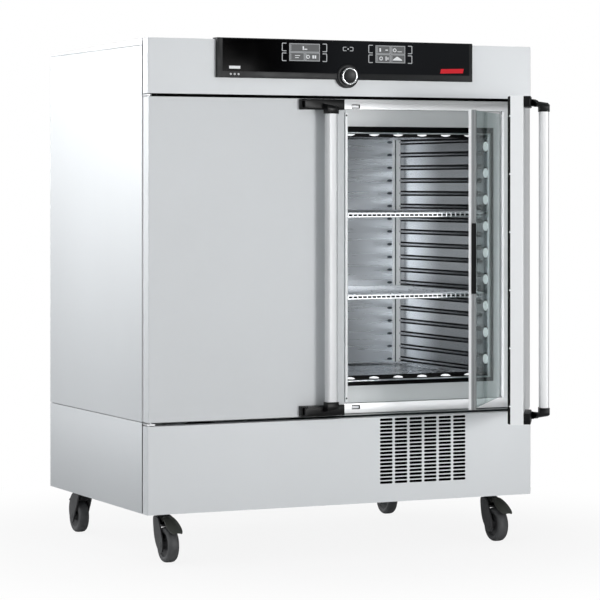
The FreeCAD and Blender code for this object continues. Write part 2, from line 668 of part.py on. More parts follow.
def displays():
    """The two display modules."""
    return Part.makeCompound([display(x, 0.0) for x in (-DISPLAY_X, DISPLAY_X)])


def knob_cap():
    """Dark centre of the knob, the part that is pressed."""
    disc = rod(KNOB_CAP_R, (0, COLLAR_FRONT_Y - 11, KNOB_Z), (0, COLLAR_FRONT_Y - 4, KNOB_Z))
    stem = rod(KNOB_STEM_R, (0, COLLAR_FRONT_Y - 5, KNOB_Z), (0, FRONT_Y - 6, KNOB_Z))
    return fuse([disc, stem])


def knob_ring():
    """Silver ring that turns round the knob's centre."""
    ring = rod(KNOB_R, (0, COLLAR_FRONT_Y - 13, KNOB_Z), (0, COLLAR_FRONT_Y - 2.5, KNOB_Z))
    rim = [e for e in ring.Edges if len(e.Vertexes) == 1 and e.CenterOfMass.y < COLLAR_FRONT_Y - 10]
    ring = ring.makeFillet(2.0, rim)
    return ring.cut(rod(KNOB_CAP_R + FIT, (0, COLLAR_FRONT_Y - 14, KNOB_Z), (0, FRONT_Y, KNOB_Z)))


# Castors, built at the origin with the wheel trailing towards -Y

def castor_mount(x, y):
    """Fixed plate, upper race and kingpin of one castor."""
    plate = box(x - 40, x + 40, y - 40, y + 40, BASE_Z0 - 4, BASE_Z0)
    race = rod(19, (x, y, BASE_Z0 - 7), (x, y, BASE_Z0 - 3))
    pin = rod(KINGPIN_R, (x, y, 116), (x, y, BASE_Z0 - 3))
    return fuse([plate, race, pin])


def castor_fork(braked):
    """Swept fork with its axle and kingpin housing; a braked one also carries the pedal's pin."""
    housing = rod(HEAD_R, (0, 0, 104), (0, 0, BASE_Z0 - 8))
    bridge = box(-CHEEK_X1, CHEEK_X1, -50, 17, 104, 110)
    bridge = round_edges(bridge, 12.0, V(0, 0, 1), lambda p: True)
    if braked:
        outline = [(17, 124), (17, 95), (8, 66), (-6, 44), (-24, 30), (-42, 28), (-52, 40),
                   (-48, 62), (-36, 80), (-26, 110), (-12, 124)]
    else:
        outline = [(15, 124), (8, 100), (-10, 70), (-26, 42), (-33, 32), (-46, 32), (-60, 48),
                   (-65, 70), (-60, 92), (-46, 112), (-20, 124)]
    parts = [housing, bridge]
    parts += both_cheeks(outline)
    parts.append(rod(AXLE_R, (-CHEEK_X1 - 1, -CASTOR_TRAIL, WHEEL_R), (CHEEK_X1 + 1, -CASTOR_TRAIL, WHEEL_R)))
    if braked:
        out, z = PEDAL_PIVOT
        parts += both_cheeks([(-16, 106), (-16, z + 3), (-out + 6, z + 7), (-out - 6, z + 7),
                              (-out - 12, z - 3), (-out - 8, 106)])
        parts.append(rod(PEDAL_PIN_R, (-CHEEK_X1, -out, z), (CHEEK_X1, -out, z)))
    return fuse(parts).cut(rod(KINGPIN_R + FIT, (0, 0, 100), (0, 0, BASE_Z0)))


def both_cheeks(outline):
    """The same plate on both sides of the wheel."""
    return [prism_x(outline, -CHEEK_X1, -CHEEK_X0), prism_x(outline, CHEEK_X0, CHEEK_X1)]


def castor_wheel():
    """Wheel with a rounded tread, a recessed web and its axle bore."""
    half = WHEEL_W / 2
    centre = V(0, -CASTOR_TRAIL, WHEEL_R)
    tyre = Part.makeCylinder(WHEEL_R, WHEEL_W, centre - V(half, 0, 0), V(1, 0, 0))
    tyre = tyre.makeFillet(5.0, [e for e in tyre.Edges if len(e.Vertexes) == 1])
    recess = Part.makeCylinder(34, 8, centre - V(half, 0, 0), V(1, 0, 0))
    other = Part.makeCylinder(34, 8, centre + V(half - 8, 0, 0), V(1, 0, 0))
    hub = Part.makeCylinder(12, WHEEL_W + 2, centre - V(half + 1, 0, 0), V(1, 0, 0))
    bore = Part.makeCylinder(AXLE_R + FIT, 60, centre - V(30, 0, 0), V(1, 0, 0))
    return fuse([cut(tyre, [recess, other]), hub]).cut(bore)


def brake_pedal():
    """Leaf-shaped foot pedal of the wheel brake, hinged at its rear end."""
    out, z = PEDAL_PIVOT
    barrel = rod(6, (-16, -out, z), (16, -out, z))
    side = prism_x([(-out, z + 6), (-57, 122.5), (-85, 108), (-110, 92), (-106, 90), (-82, 104),
                    (-56, 118), (-out, z)], -PEDAL_HALF_W, PEDAL_HALF_W)
    narrow, tip = PEDAL_HALF_W - 3, PEDAL_HALF_W - 7
    plan = [(-narrow, -out), (-narrow, -50), (-PEDAL_HALF_W, -60), (-PEDAL_HALF_W, -95), (-tip, -110),
            (tip, -110), (PEDAL_HALF_W, -95), (PEDAL_HALF_W, -60), (narrow, -50), (narrow, -out)]
    wire = Part.makePolygon([V(x, y, 60) for x, y in plan + plan[:1]])
    leaf = side.common(Part.Face(wire).extrude(V(0, 0, 80)))
    return fuse([barrel, leaf]).cut(rod(PEDAL_PIN_R + FIT, (-20, -out, z), (20, -out, z)))


def place_castor(shape, side, end):
    """Move a castor part under its corner; rear castors trail to the rear."""
    shape = shape.copy()
    if end == "rear":
        shape.rotate(V(0, 0, 0), V(0, 0, 1), 180)
    shape.translate(V(side * CASTOR_X, CASTOR_STEM_Y[end], 0))
    return shape


def cabinet_nodes():
    """Everything of the cabinet that is neither a door nor a castor."""
    return {
        "base_casing": base_casing(), "base_front_panel": base_front_panel(),
        "rear_panels": rear_panels(), "side_panels": side_panels(), "top_cover": top_cover(),
        "header_panel": header_panel(), "body_seals": body_seals(), "front_frame": front_frame(),
        "chamber_liner": chamber_liner(), "insulation": insulation(), "air_baffle": air_baffle(),
        "frame_fittings": frame_fittings(), "door_hinge_brackets": door_hinge_brackets(),
        "lower_shelf": wire_shelf(SHELF_Z[0]), "upper_shelf": wire_shelf(SHELF_Z[1]),
        "circulation_impeller": circulation_impeller(), "circulation_motor": circulation_motor(),
        "compressor": compressor(), "condenser": condenser(), "condenser_motor": condenser_motor(),
        "condenser_fan": condenser_fan(), "control_board": control_board(),
        "mains_inlet": mains_inlet(), "mains_rocker": mains_rocker(),
        "panel_screws": panel_screws(), "control_housing": control_housing(),
        "control_glass": control_glass(), "displays": displays(), "knob_cap": knob_cap(),
        "knob_ring": knob_ring()}


def door_nodes(name, side, free_x, glass_free_x, swing, glass_swing, lever_swing):
    """One outer door with its handle and the glass door behind it, at their rest angles."""
    nodes = {}
    for part_name, shape in outer_door(free_x).items():
        nodes["door_" + part_name] = shape
    nodes["handle_brackets"] = handle_brackets(free_x)
    pivot = V(free_x + LEVER_PIVOT_X, FRONT_Y - LEVER_PIVOT_OUT, 0)
    for part_name, shape in (("handle_levers", handle_levers(free_x)),
                             ("handle_bar", handle_bar(free_x))):
        shape.rotate(pivot, V(0, 0, 1), lever_swing)
        nodes[part_name] = shape
    placed = {}
    for part_name, shape in nodes.items():
        placed[name + "_" + part_name] = place_door(shape, side, swing, DOOR_HINGE_X, DOOR_HINGE_Y)
    for part_name, shape in glass_door(glass_free_x, side > 0).items():
        placed[name + "_glass_" + part_name] = place_door(shape, side, glass_swing,
                                                          GLASS_HINGE_X, GLASS_HINGE_Y)
    return placed


def castor_nodes():
    """The four castors: fixed mounts, forks, wheels, and brake pedals in front."""
    mounts = [castor_mount(side * CASTOR_X, y) for side in (-1, 1) for y in CASTOR_STEM_Y.values()]
    nodes = {"castor_mounts": Part.makeCompound(mounts)}
    for end in CASTOR_STEM_Y:
        for name, side in (("left", -1), ("right", 1)):
            label = end + "_" + name
            nodes["castor_fork_" + label] = place_castor(castor_fork(end == "front"), side, end)
            nodes["castor_wheel_" + label] = place_castor(castor_wheel(), side, end)
            if end == "front":
                nodes["brake_pedal_" + name] = place_castor(brake_pedal(), side, end)
    return nodes


def main():
    """Write one STEP file per node."""
    os.makedirs("parts", exist_ok=True)
    nodes = cabinet_nodes()
    nodes.update(door_nodes("left", -1, -LEFT_DOOR_FREE_X, -LEFT_GLASS_FREE_X, 0.0, 0.0, 0.0))
    nodes.update(door_nodes("right", 1, RIGHT_DOOR_FREE_X, RIGHT_GLASS_FREE_X,
                            DOOR_OPEN, GLASS_OPEN, HANDLE_OPEN))
    nodes.update(castor_nodes())
    for name, shape in nodes.items():
        shape.exportStep("parts/" + name + ".step")


main()
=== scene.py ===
import json
from math import cos, pi, radians, sin

import bmesh
import bpy
from mathutils import Matrix, Vector


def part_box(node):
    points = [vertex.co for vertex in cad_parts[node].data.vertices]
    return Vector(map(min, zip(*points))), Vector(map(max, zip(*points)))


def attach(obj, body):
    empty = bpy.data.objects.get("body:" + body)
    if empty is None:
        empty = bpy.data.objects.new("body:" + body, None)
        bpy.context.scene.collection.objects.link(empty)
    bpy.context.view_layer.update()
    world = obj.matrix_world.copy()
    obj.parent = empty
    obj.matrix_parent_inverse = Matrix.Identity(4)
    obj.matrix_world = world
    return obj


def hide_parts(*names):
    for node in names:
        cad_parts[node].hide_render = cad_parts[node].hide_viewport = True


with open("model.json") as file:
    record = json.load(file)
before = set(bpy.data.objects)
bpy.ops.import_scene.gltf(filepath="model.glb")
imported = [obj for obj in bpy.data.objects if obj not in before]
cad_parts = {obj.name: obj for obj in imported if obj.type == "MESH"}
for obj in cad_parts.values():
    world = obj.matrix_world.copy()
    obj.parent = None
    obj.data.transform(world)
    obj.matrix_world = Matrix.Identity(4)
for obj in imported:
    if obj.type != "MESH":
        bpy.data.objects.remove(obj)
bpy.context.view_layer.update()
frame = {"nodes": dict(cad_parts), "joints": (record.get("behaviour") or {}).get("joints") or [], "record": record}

MM = 0.001
JOINTS = {joint["name"]: joint for joint in frame["joints"]}
NODES = frame["nodes"]
SLOT_OF = {part["node"]: part["material_slot"] for part in frame["record"]["subparts"]}


class Box:
    """Lowest and highest corner of a CAD node at rest, in millimetres."""

    def __init__(self, node):
        low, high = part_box(node)
        self.x0, self.y0, self.z0 = (value / MM for value in low)
        self.x1, self.y1, self.z1 = (value / MM for value in high)


def pivot(joint):
    """A joint's place, in millimetres."""
    return Vector(JOINTS[joint]["pos_m"]) / MM


# ---- dimensions, in millimetres

HEADER = Box("header_panel")
FRONT_Y = HEADER.y0
LINER = Box("chamber_liner")
SHEET = 1.5
CHAMBER_X = LINER.x1 - SHEET
CHAMBER_Z0 = LINER.z0 + SHEET
CHAMBER_Z1 = LINER.z1 - SHEET
BAFFLE_Y = Box("air_baffle").y0
SLOT_X = 483
RIB_COUNT = 18
RIB_Z0 = CHAMBER_Z0 + 17.0
RIB_PITCH = 40.5
STUD_PITCH = 79.5
WALL_STUD_Y = LINER.y0 + 20.0
FLOOR_STUD_Y = LINER.y0 + 39.0
WIRE_PITCH = 15.5

DOOR = Box("left_door_shell")
DOOR_FREE_X = {"left": -DOOR.x1, "right": -DOOR.x1 - 1.0}
GLASS = Box("left_glass_pane")
GLASS_EDGE_W = 9.0
GLASS_T = 8.0
GLASS_FREE_X = {"left": -GLASS.x1 - GLASS_EDGE_W, "right": 36.0}

OPENING_X, OPENING_Z, REBATE_Y = 546.0, (427.0, 1279.0), -336.0
FLANGE_Y = Box("front_frame").y0

BAR = Box("left_handle_bar")
HANDLE_PIVOT = Vector((DOOR_FREE_X["right"] + 132.0, FRONT_Y - 12.0, 0))
RIGHT_TURN = -JOINTS["right_door_swing"]["range_deg"][0]

PANEL = Box("control_glass")
DISPLAYS = Box("displays")
DISPLAY_W = 97.0
DISPLAY_X = DISPLAYS.x1 - DISPLAY_W / 2
PRINT_Y = DISPLAYS.y0
KNOB = Box("knob_ring")
KNOB_Z = (KNOB.z0 + KNOB.z1) / 2

WHEEL_R = 50.0
TRAIL = 37.0


# ---- stage

def make_camera():
    """Level view from the front left, framed by a vertical shift."""
    data = bpy.data.cameras.new("camera")
    data.sensor_width = 36.0
    data.lens = 157.79
    data.shift_y = -0.1912
    data.clip_end = 200.0
    camera = bpy.data.objects.new("camera", data)
    camera.location = (-3.3167, -7.1922, 1.0590)
    camera.rotation_euler = (radians(90), 0, radians(-25.03))
    bpy.context.scene.collection.objects.link(camera)
    bpy.context.scene.camera = camera


def area_light(name, location, target, size, power, spread=180):
    """Soft rectangular lamp, unseen by the camera, aimed at a target."""
    data = bpy.data.lights.new(name, "AREA")
    data.shape = "RECTANGLE"
    data.size, data.size_y = size
    data.energy = power
    data.spread = radians(spread)
    light = bpy.data.objects.new(name, data)
    light.location = location
    direction = Vector(target) - Vector(location)
    light.rotation_euler = direction.to_track_quat("-Z", "Y").to_euler()
    light.visible_camera = False
    bpy.context.scene.collection.objects.link(light)
    return light


def limit_light(light, lit):
    """Let a shadowless fill light reach only some pieces."""
    lit_group = bpy.data.collections.new(light.name + "_lit")
    for piece in lit:
        lit_group.objects.link(piece)
    light.light_linking.receiver_collection = lit_group
    light.data.use_shadow = False


def node_of(tree, kind, **values):
    """New shader node whose inputs or properties take the given values."""
    made = tree.nodes.new("ShaderNode" + kind)
    for name, value in values.items():
        if name in made.inputs:
            made.inputs[name].default_value = value
        else:
            setattr(made, name, value)
    return made


def ramp(tree, value, source, result, smooth=False):
    """Map a value from one range to another."""
    made = node_of(tree, "MapRange")
    for socket, number in zip(("From Min", "From Max", "To Min", "To Max"), (*source, *result)):
        made.inputs[socket].default_value = number
    if smooth:
        made.interpolation_type = "SMOOTHSTEP"
    tree.links.new(value, made.inputs["Value"])
    return made.outputs["Result"]


def times(tree, first, second):
    made = node_of(tree, "Math", operation="MULTIPLY")
    tree.links.new(first, made.inputs[0])
    tree.links.new(second, made.inputs[1])
    return made.outputs[0]


# World light: where it comes from, its soft edge, its dark and lit levels, and its rise overhead
LIGHT_SIDE = (-0.94, 0.34, 0.0)
LIGHT_EDGE = (0.08, 0.50)
LIGHT_LEVELS = (0.16, 0.93)
LIGHT_ABOVE = (1.0, 1.35)


def make_world():
    """White backdrop for the camera; the light itself comes from the left, a little from behind."""
    world = bpy.data.worlds.new("studio")
    world.use_nodes = True
    tree = world.node_tree
    light = tree.nodes["Background"]
    backdrop = node_of(tree, "Background", Color=(1, 1, 1, 1), Strength=1.0)
    direction = node_of(tree, "TexCoord").outputs["Generated"]
    facing = node_of(tree, "VectorMath", operation="DOT_PRODUCT")
    tree.links.new(direction, facing.inputs[0])
    facing.inputs[1].default_value = LIGHT_SIDE
    around = ramp(tree, facing.outputs["Value"], LIGHT_EDGE, LIGHT_LEVELS, smooth=True)
    split = node_of(tree, "SeparateXYZ")
    tree.links.new(direction, split.inputs[0])
    above = ramp(tree, split.outputs["Z"], (0.0, 1.0), LIGHT_ABOVE)
    tree.links.new(times(tree, around, above), light.inputs["Strength"])
    light.inputs["Color"].default_value = (0.97, 0.985, 1.0, 1)
    mix = node_of(tree, "MixShader")
    tree.links.new(node_of(tree, "LightPath").outputs["Is Camera Ray"], mix.inputs["Fac"])
    tree.links.new(light.outputs[0], mix.inputs[1])
    tree.links.new(backdrop.outputs[0], mix.inputs[2])
    tree.links.new(mix.outputs[0], tree.nodes["World Output"].inputs["Surface"])
    bpy.context.scene.world = world
    bpy.context.scene.view_settings.view_transform = "Standard"


def make_floor():
    """Pale floor that fades to the backdrop's white away from the object."""
    bpy.ops.mesh.primitive_plane_add(size=120.0, location=(0, 0, 0))
    floor = bpy.context.object
    floor.name = "floor"
    material = bpy.data.materials.new("floor")
    material.use_nodes = True
    tree = material.node_tree
    shader = tree.nodes["Principled BSDF"]
    shader.inputs["Base Color"].default_value = (0.80, 0.80, 0.80, 1)
    shader.inputs["Roughness"].default_value = 0.7
    emission = node_of(tree, "Emission", Color=(1, 1, 1, 1))
    length = node_of(tree, "VectorMath", operation="LENGTH")
    tree.links.new(node_of(tree, "TexCoord").outputs["Object"], length.inputs[0])
    fade = ramp(tree, length.outputs["Value"], (0.6, 1.6), (0.88, 1.0), smooth=True)
    seen = node_of(tree, "LightPath").outputs["Is Camera Ray"]
    mix = node_of(tree, "MixShader")
    tree.links.new(times(tree, fade, seen), mix.inputs["Fac"])
    tree.links.new(shader.outputs["BSDF"], mix.inputs[1])
    tree.links.new(emission.outputs["Emission"], mix.inputs[2])
    tree.links.new(mix.outputs["Shader"], tree.nodes["Material Output"].inputs["Surface"])
    floor.data.materials.append(material)


# ---- materials

class Shader:
    """A material under construction: a Principled shader and the nodes that feed it."""

    def __init__(self, name, colour, roughness, metallic=0.0, **sockets):
        self.material = bpy.data.materials.new(name)
        self.material.use_nodes = True
        self.tree = self.material.node_tree
        self.main = self.tree.nodes["Principled BSDF"]
        self.colour = tuple(colour)
        self.main.inputs["Base Color"].default_value = (*colour, 1)
        self.main.inputs["Roughness"].default_value = roughness
        self.main.inputs["Metallic"].default_value = metallic
        for socket, value in sockets.items():
            self.main.inputs[socket.replace("_", " ")].default_value = value
        self.height = None
        self.space = self.node("TexCoord").outputs["Object"]

    def node(self, kind, **values):
        return node_of(self.tree, kind, **values)

    def link(self, source, target):
        self.tree.links.new(source, target)

    def stretched(self, scale, turn=0.0):
        """Object coordinates turned about the vertical, then scaled per axis."""
        turned = self.node("Mapping")
        turned.inputs["Rotation"].default_value = (0, 0, radians(turn))
        self.link(self.space, turned.inputs["Vector"])
        mapping = self.node("Mapping")
        mapping.inputs["Scale"].default_value = scale
        self.link(turned.outputs["Vector"], mapping.inputs["Vector"])
        return mapping.outputs["Vector"]

    def noise(self, scale, detail=4.0, stretch=(1, 1, 1), turn=0.0):
        made = self.node("TexNoise", Scale=scale, Detail=detail)
        self.link(self.stretched(stretch, turn), made.inputs["Vector"])
        return made.outputs["Fac"]

    def along(self, axis):
        """One of the object coordinates."""
        split = self.node("SeparateXYZ")
        self.link(self.space, split.inputs[0])
        return split.outputs[axis]

    def vary_colour(self, value, change):
        """Lighten and darken the base colour by a share."""
        self.shade(value, (0.3, 0.7), (1 - change, 1 + change))

    def shade(self, value, source, result):
        """Multiply the base colour by a factor that follows a value."""
        factor = ramp(self.tree, value, source, result, smooth=True)
        made = self.node("Mix", data_type="RGBA", blend_type="MULTIPLY")
        made.inputs[0].default_value = 1.0
        made.inputs[6].default_value = (*self.colour, 1)
        self.link(factor, made.inputs[7])
        self.link(made.outputs[2], self.main.inputs["Base Color"])

    def vary_roughness(self, value, low, high):
        self.link(ramp(self.tree, value, (0.3, 0.7), (low, high)), self.main.inputs["Roughness"])

    def bump(self, value, distance, strength=1.0):
        made = self.node("Bump", Distance=distance, Strength=strength)
        self.link(value, made.inputs["Height"])
        if self.height is not None:
            self.link(self.height, made.inputs["Normal"])
        self.height = made.outputs["Normal"]
        self.link(self.height, self.main.inputs["Normal"])


def textured_steel(turn, colour=(0.70, 0.72, 0.735)):
    """Casing sheet: pale steel with a fine rolled pattern."""
    shader = Shader("casing_steel_%d" % turn, colour, 0.50, 0.15)
    pattern = shader.node("TexVoronoi", Scale=330.0, feature="SMOOTH_F1")
    shader.link(shader.stretched((1, 1, 0.8), turn), pattern.inputs["Vector"])
    shader.bump(pattern.outputs["Distance"], 0.00025, 0.3)
    shader.vary_colour(shader.noise(2.5, 3.0), 0.008)
    shader.vary_roughness(shader.noise(60, 3.0), 0.48, 0.52)
    return shader.material


def brushed_steel(name, colour, roughness, stretch, turn=0.0, depth=0.00004, spread=0.08, metallic=1.0):
    """Steel with long fine brush lines along its stretched direction."""
    shader = Shader(name, colour, roughness, metallic)
    lines = shader.noise(1.0, 5.0, stretch, turn)
    shader.bump(lines, depth, 0.5)
    shader.vary_roughness(lines, roughness - spread, roughness + spread)
    shader.vary_colour(shader.noise(3.0, 2.0, (1, 1, 1), turn), 0.03)
    return shader.material


def wall_steel_painted_shade():
    """Chamber walls: brushed in level lines, with painted shade that darkens them towards the mouth."""
    shader = Shader("wall_steel_painted_shade", (0.78, 0.815, 0.85), 0.24, 0.85)
    lines = shader.noise(1.0, 5.0, (6, 6, 300))
    shader.bump(lines, 0.000006, 0.5)
    shader.vary_roughness(lines, 0.21, 0.27)
    # Painted shade: the colour darkens towards the chamber mouth.
    shader.shade(shader.along("Y"), (-0.02, 0.27), (0.07, 0.58))
    return shader.material


def grooved_steel():
    """Chamber floor: steel rolled with shallow cross grooves, its colour darkened and lightened along them as
    painted shade and highlight.
    """
    shader = Shader("chamber_floor", (0.50, 0.525, 0.55), 0.26, 1.0)
    wave = shader.node("TexWave", Scale=11.0, bands_direction="Y")
    shader.link(shader.space, wave.inputs["Vector"])
    shader.bump(wave.outputs["Fac"], 0.0012, 0.8)
    # Painted shade and highlight: the colour follows the grooves.
    shader.vary_colour(wave.outputs["Fac"], 0.16)
    shader.vary_roughness(shader.noise(40.0, 3.0), 0.2, 0.32)
    return shader.material


def moulded(name, colour, roughness, grain=900.0, depth=0.00006, gloss=0.5):
    """Moulded plastic with a fine spark-eroded grain."""
    shader = Shader(name, colour, roughness, Specular_IOR_Level=gloss)
    shader.bump(shader.noise(grain, 2.0), depth, 0.5)
    shader.vary_roughness(shader.noise(25.0, 3.0), roughness - 0.05, roughness + 0.07)
    shader.vary_colour(shader.noise(12.0, 2.0), 0.06)
    return shader.material


def gloss_black():
    """Smoked panel glass, with a painted sheen that makes it a little lighter towards its right end."""
    shader = Shader("panel_glass", (0.0008, 0.0008, 0.001), 0.10, Specular_IOR_Level=0.02)
    # Painted sheen: the base colour lightens from left to right.
    painted_sheen = shader.node("ValToRGB")
    painted_sheen.color_ramp.elements[0].color = (0.0006, 0.0006, 0.0008, 1)
    painted_sheen.color_ramp.elements[1].color = (0.016, 0.017, 0.019, 1)
    place = ramp(shader.tree, shader.along("X"), (-0.28, 0.05), (0.0, 1.0), smooth=True)
    shader.link(place, painted_sheen.inputs["Fac"])
    shader.link(painted_sheen.outputs["Color"], shader.main.inputs["Base Color"])
    shader.vary_roughness(shader.noise(9.0, 2.0), 0.06, 0.11)
    shader.bump(shader.noise(3.0, 1.0), 0.00002, 0.2)
    return shader.material


def clear_glass():
    shader = Shader("door_glass", (0.70, 0.79, 0.78), 0.02, 0.0, Transmission_Weight=0.96, IOR=1.08)
    shader.vary_roughness(shader.noise(6.0, 2.0), 0.015, 0.04)
    return shader.material


def plated(name, colour, roughness):
    shader = Shader(name, colour, roughness, 1.0)
    shader.vary_roughness(shader.noise(40.0, 3.0), roughness - 0.05, roughness + 0.08)
    shader.vary_colour(shader.noise(8.0, 2.0), 0.04)
    return shader.material


def galvanised():
    """Zinc-coated sheet with a faint spangle."""
    shader = Shader("galvanised", (0.56, 0.58, 0.59), 0.42, 0.6)
    cells = shader.node("TexVoronoi", Scale=70.0)
    shader.link(shader.space, cells.inputs["Vector"])
    shader.vary_colour(cells.outputs["Distance"], 0.06)
    shader.vary_roughness(cells.outputs["Distance"], 0.36, 0.50)
    return shader.material


def rubber(name, colour, roughness=0.62, gloss=0.35):
    shader = Shader(name, colour, roughness, Specular_IOR_Level=gloss)
    shader.bump(shader.noise(500.0, 3.0), 0.00008, 0.6)
    shader.vary_colour(shader.noise(30.0, 3.0), 0.15)
    return shader.material


def glowing_mark(name, colour, strength):
    """Mark that glows a little: print on the dark panel, and the studs at the chamber mouth, whose glow is a
    painted highlight.
    """
    shader = Shader(name, colour, 0.5, Specular_IOR_Level=0.2)
    shader.main.inputs["Emission Color"].default_value = (*colour, 1)
    shader.main.inputs["Emission Strength"].default_value = strength
    shader.vary_roughness(shader.noise(200.0, 2.0), 0.45, 0.55)
    return shader.material


MATERIALS = {
    "casing_steel": textured_steel(0),
    "stainless": brushed_steel("stainless", (0.76, 0.765, 0.775), 0.38, (5, 60, 700), 0, 0.00002, 0.05, 0.5),
    "chamber_steel": brushed_steel("chamber_steel", (0.74, 0.775, 0.81), 0.24, (6, 6, 300), 0, 0.000006,
                                   0.03, 0.85),
    "galvanised": galvanised(),
    "black_plastic": moulded("black_plastic", (0.003, 0.0032, 0.0036), 0.36, gloss=0.22),
    "panel_plastic": moulded("panel_plastic", (0.014, 0.015, 0.016), 0.42, gloss=0.3),
    "panel_glass": gloss_black(),
    "display": glowing_mark("display", (0.10, 0.103, 0.105), 0.5),
    "silver": plated("silver", (0.80, 0.81, 0.82), 0.24),
    "handle_aluminium": brushed_steel("handle_aluminium", (0.72, 0.73, 0.74), 0.40, (600, 600, 5), 0,
                                      0.00003, 0.05),
    "seal_rubber": rubber("seal_rubber", (0.0035, 0.0037, 0.0037), 0.7, 0.12),
    "foam": moulded("foam", (0.62, 0.58, 0.42), 0.8, 300.0, 0.0004),
    "door_glass": clear_glass(),
    "profile_white": brushed_steel("profile_white", (0.90, 0.91, 0.92), 0.45, (500, 500, 5), 0, 0.00002,
                                   0.04, 0.3),
    "castor_plastic": moulded("castor_plastic", (0.050, 0.050, 0.052), 0.42, gloss=0.4),
    "tread": rubber("tread", (0.085, 0.086, 0.088), 0.5),
    "machine_black": moulded("machine_black", (0.015, 0.015, 0.016), 0.35),
    "board_green": moulded("board_green", (0.02, 0.12, 0.05), 0.45),
}
FLOOR_STEEL = grooved_steel()
WALL_STEEL_PAINTED_SHADE = wall_steel_painted_shade()
WIRE_STEEL = plated("wire_steel", (0.84, 0.85, 0.87), 0.30)
LIP_STEEL = plated("lip_steel", (0.92, 0.93, 0.95), 0.34)
DARK_STEEL = plated("dark_steel", (0.10, 0.115, 0.13), 0.40)
DOOR_STEEL = {
    "left": brushed_steel("door_steel_left", (0.72, 0.73, 0.74), 0.36, (60, 60, 4), 0, 0.00002, 0.05),
    "right": brushed_steel("door_steel_right", (0.72, 0.73, 0.74), 0.36, (60, 60, 4), -RIGHT_TURN, 0.00002,
                           0.05),
}
BAR_METAL = {
    "left": brushed_steel("left_bar", (0.72, 0.73, 0.74), 0.45, (600, 600, 5), 0, 0.00003, 0.05, 0.3),
    # The right bar is paler and more metallic than the left: a painted highlight on the open door's bar.
    "right": brushed_steel("right_bar_painted_highlight", (0.95, 0.955, 0.96), 0.45, (600, 600, 5), 0, 0.00003, 0.05, 0.4),
}
# Paler, less metallic copy of the chamber steel for the baffle folds: a painted highlight.
FOLD_STEEL = brushed_steel("fold_steel", (0.92, 0.94, 0.96), 0.40, (6, 6, 300), 0, 0.000006, 0.03, 0.1)
CHANNEL_METAL = brushed_steel("channel_metal", (0.34, 0.352, 0.358), 0.42, (500, 500, 5), 0, 0.00002, 0.04,
                              0.4)
# Near-black for the painted shade along the rib creases.
CREASE_SHADE_BLACK = rubber("rib_crease_shade", (0.006, 0.0065, 0.008), 0.6, 0.1)
# Near-black for painted shade behind the grille slots and in the gap under the header.
SHADE_BLACK = rubber("shade_black", (0.0015, 0.0015, 0.0015), 0.9, 0.05)
PEDAL_PLASTIC = moulded("pedal_plastic", (0.047, 0.050, 0.043), 0.40, gloss=0.4)
GLOWING_MARKS = {
    "mark": glowing_mark("mark", (0.33, 0.34, 0.35), 0.7),
    "line": glowing_mark("line", (0.30, 0.31, 0.32), 0.7),
    "glyph": glowing_mark("glyph", (0.52, 0.53, 0.54), 0.7),
    "red": glowing_mark("red", (0.50, 0.010, 0.018), 0.5),
    # The studs glow as a painted highlight.
    "stud_highlight_glow": glowing_mark("stud_highlight_glow", (0.88, 0.90, 0.91), 0.75),
}
TURNED = {
    # The right door shell is paler than the rest of the casing: painted light on the open door.
    "right_door_shell": textured_steel(-RIGHT_TURN, (0.93, 0.945, 0.955)),
    # The baffle's steel is paler than the chamber walls': painted light on the back wall.
    "air_baffle": brushed_steel("baffle_steel_painted_light", (0.86, 0.90, 0.94), 0.28, (6, 6, 300), 0, 0.000001, 0.01,
                                0.85),
    "front_frame": brushed_steel("frame_steel", (0.88, 0.885, 0.895), 0.38, (5, 60, 700), 0, 0.00002, 0.05,
                                 0.35),
}
BEVELLED = {
    "control_housing": 0.8, "left_handle_levers": 1.0, "right_handle_levers": 1.0,
    "left_handle_brackets": 0.8, "right_handle_brackets": 0.8, "right_glass_finger_grip": 0.6,
    "top_cover": 0.7, "side_panels": 0.5, "base_casing": 0.5, "rear_panels": 0.4, "mains_inlet": 0.8,
    "mains_rocker": 0.6, "front_frame": 0.6, "air_baffle": 0.4, "compressor": 2.0,
}


def smooth_mesh(mesh, angle=30.0):
    """Shade smooth except across sharp edges."""
    if "custom_normal" in mesh.attributes:
        mesh.attributes.remove(mesh.attributes["custom_normal"])
    for polygon in mesh.polygons:
        polygon.use_smooth = True
    mesh.set_sharp_from_angle(angle=radians(angle))


def add_bevel(piece, width, segments=3):
    """Small radius along the sharp edges."""
    bevel = piece.modifiers.new("bevel", "BEVEL")
    bevel.width = width * MM
    bevel.segments = segments
    bevel.limit_method = "ANGLE"
    bevel.angle_limit = radians(30)
    bevel.harden_normals = False


def dress_cad_nodes():
    """Every CAD node takes the material of its slot, and small edge radii where they show."""
    for name, node in NODES.items():
        material = TURNED.get(name, MATERIALS[SLOT_OF[name]])
        node.data.materials.clear()
        node.data.materials.append(material)
        if name in BEVELLED:
            smooth_mesh(node.data)
            weld = node.modifiers.new("weld", "WELD")
            weld.merge_threshold = 0.00002
            add_bevel(node, BEVELLED[name], 2)


# ---- mesh building

def circle(segments):
    """Angles of evenly spaced points round a circle."""
    return [2 * pi * k / segments for k in range(segments)]


def rectangle(a0, a1, b0, b1):
    return [(a0, b0), (a1, b0), (a1, b1), (a0, b1)]


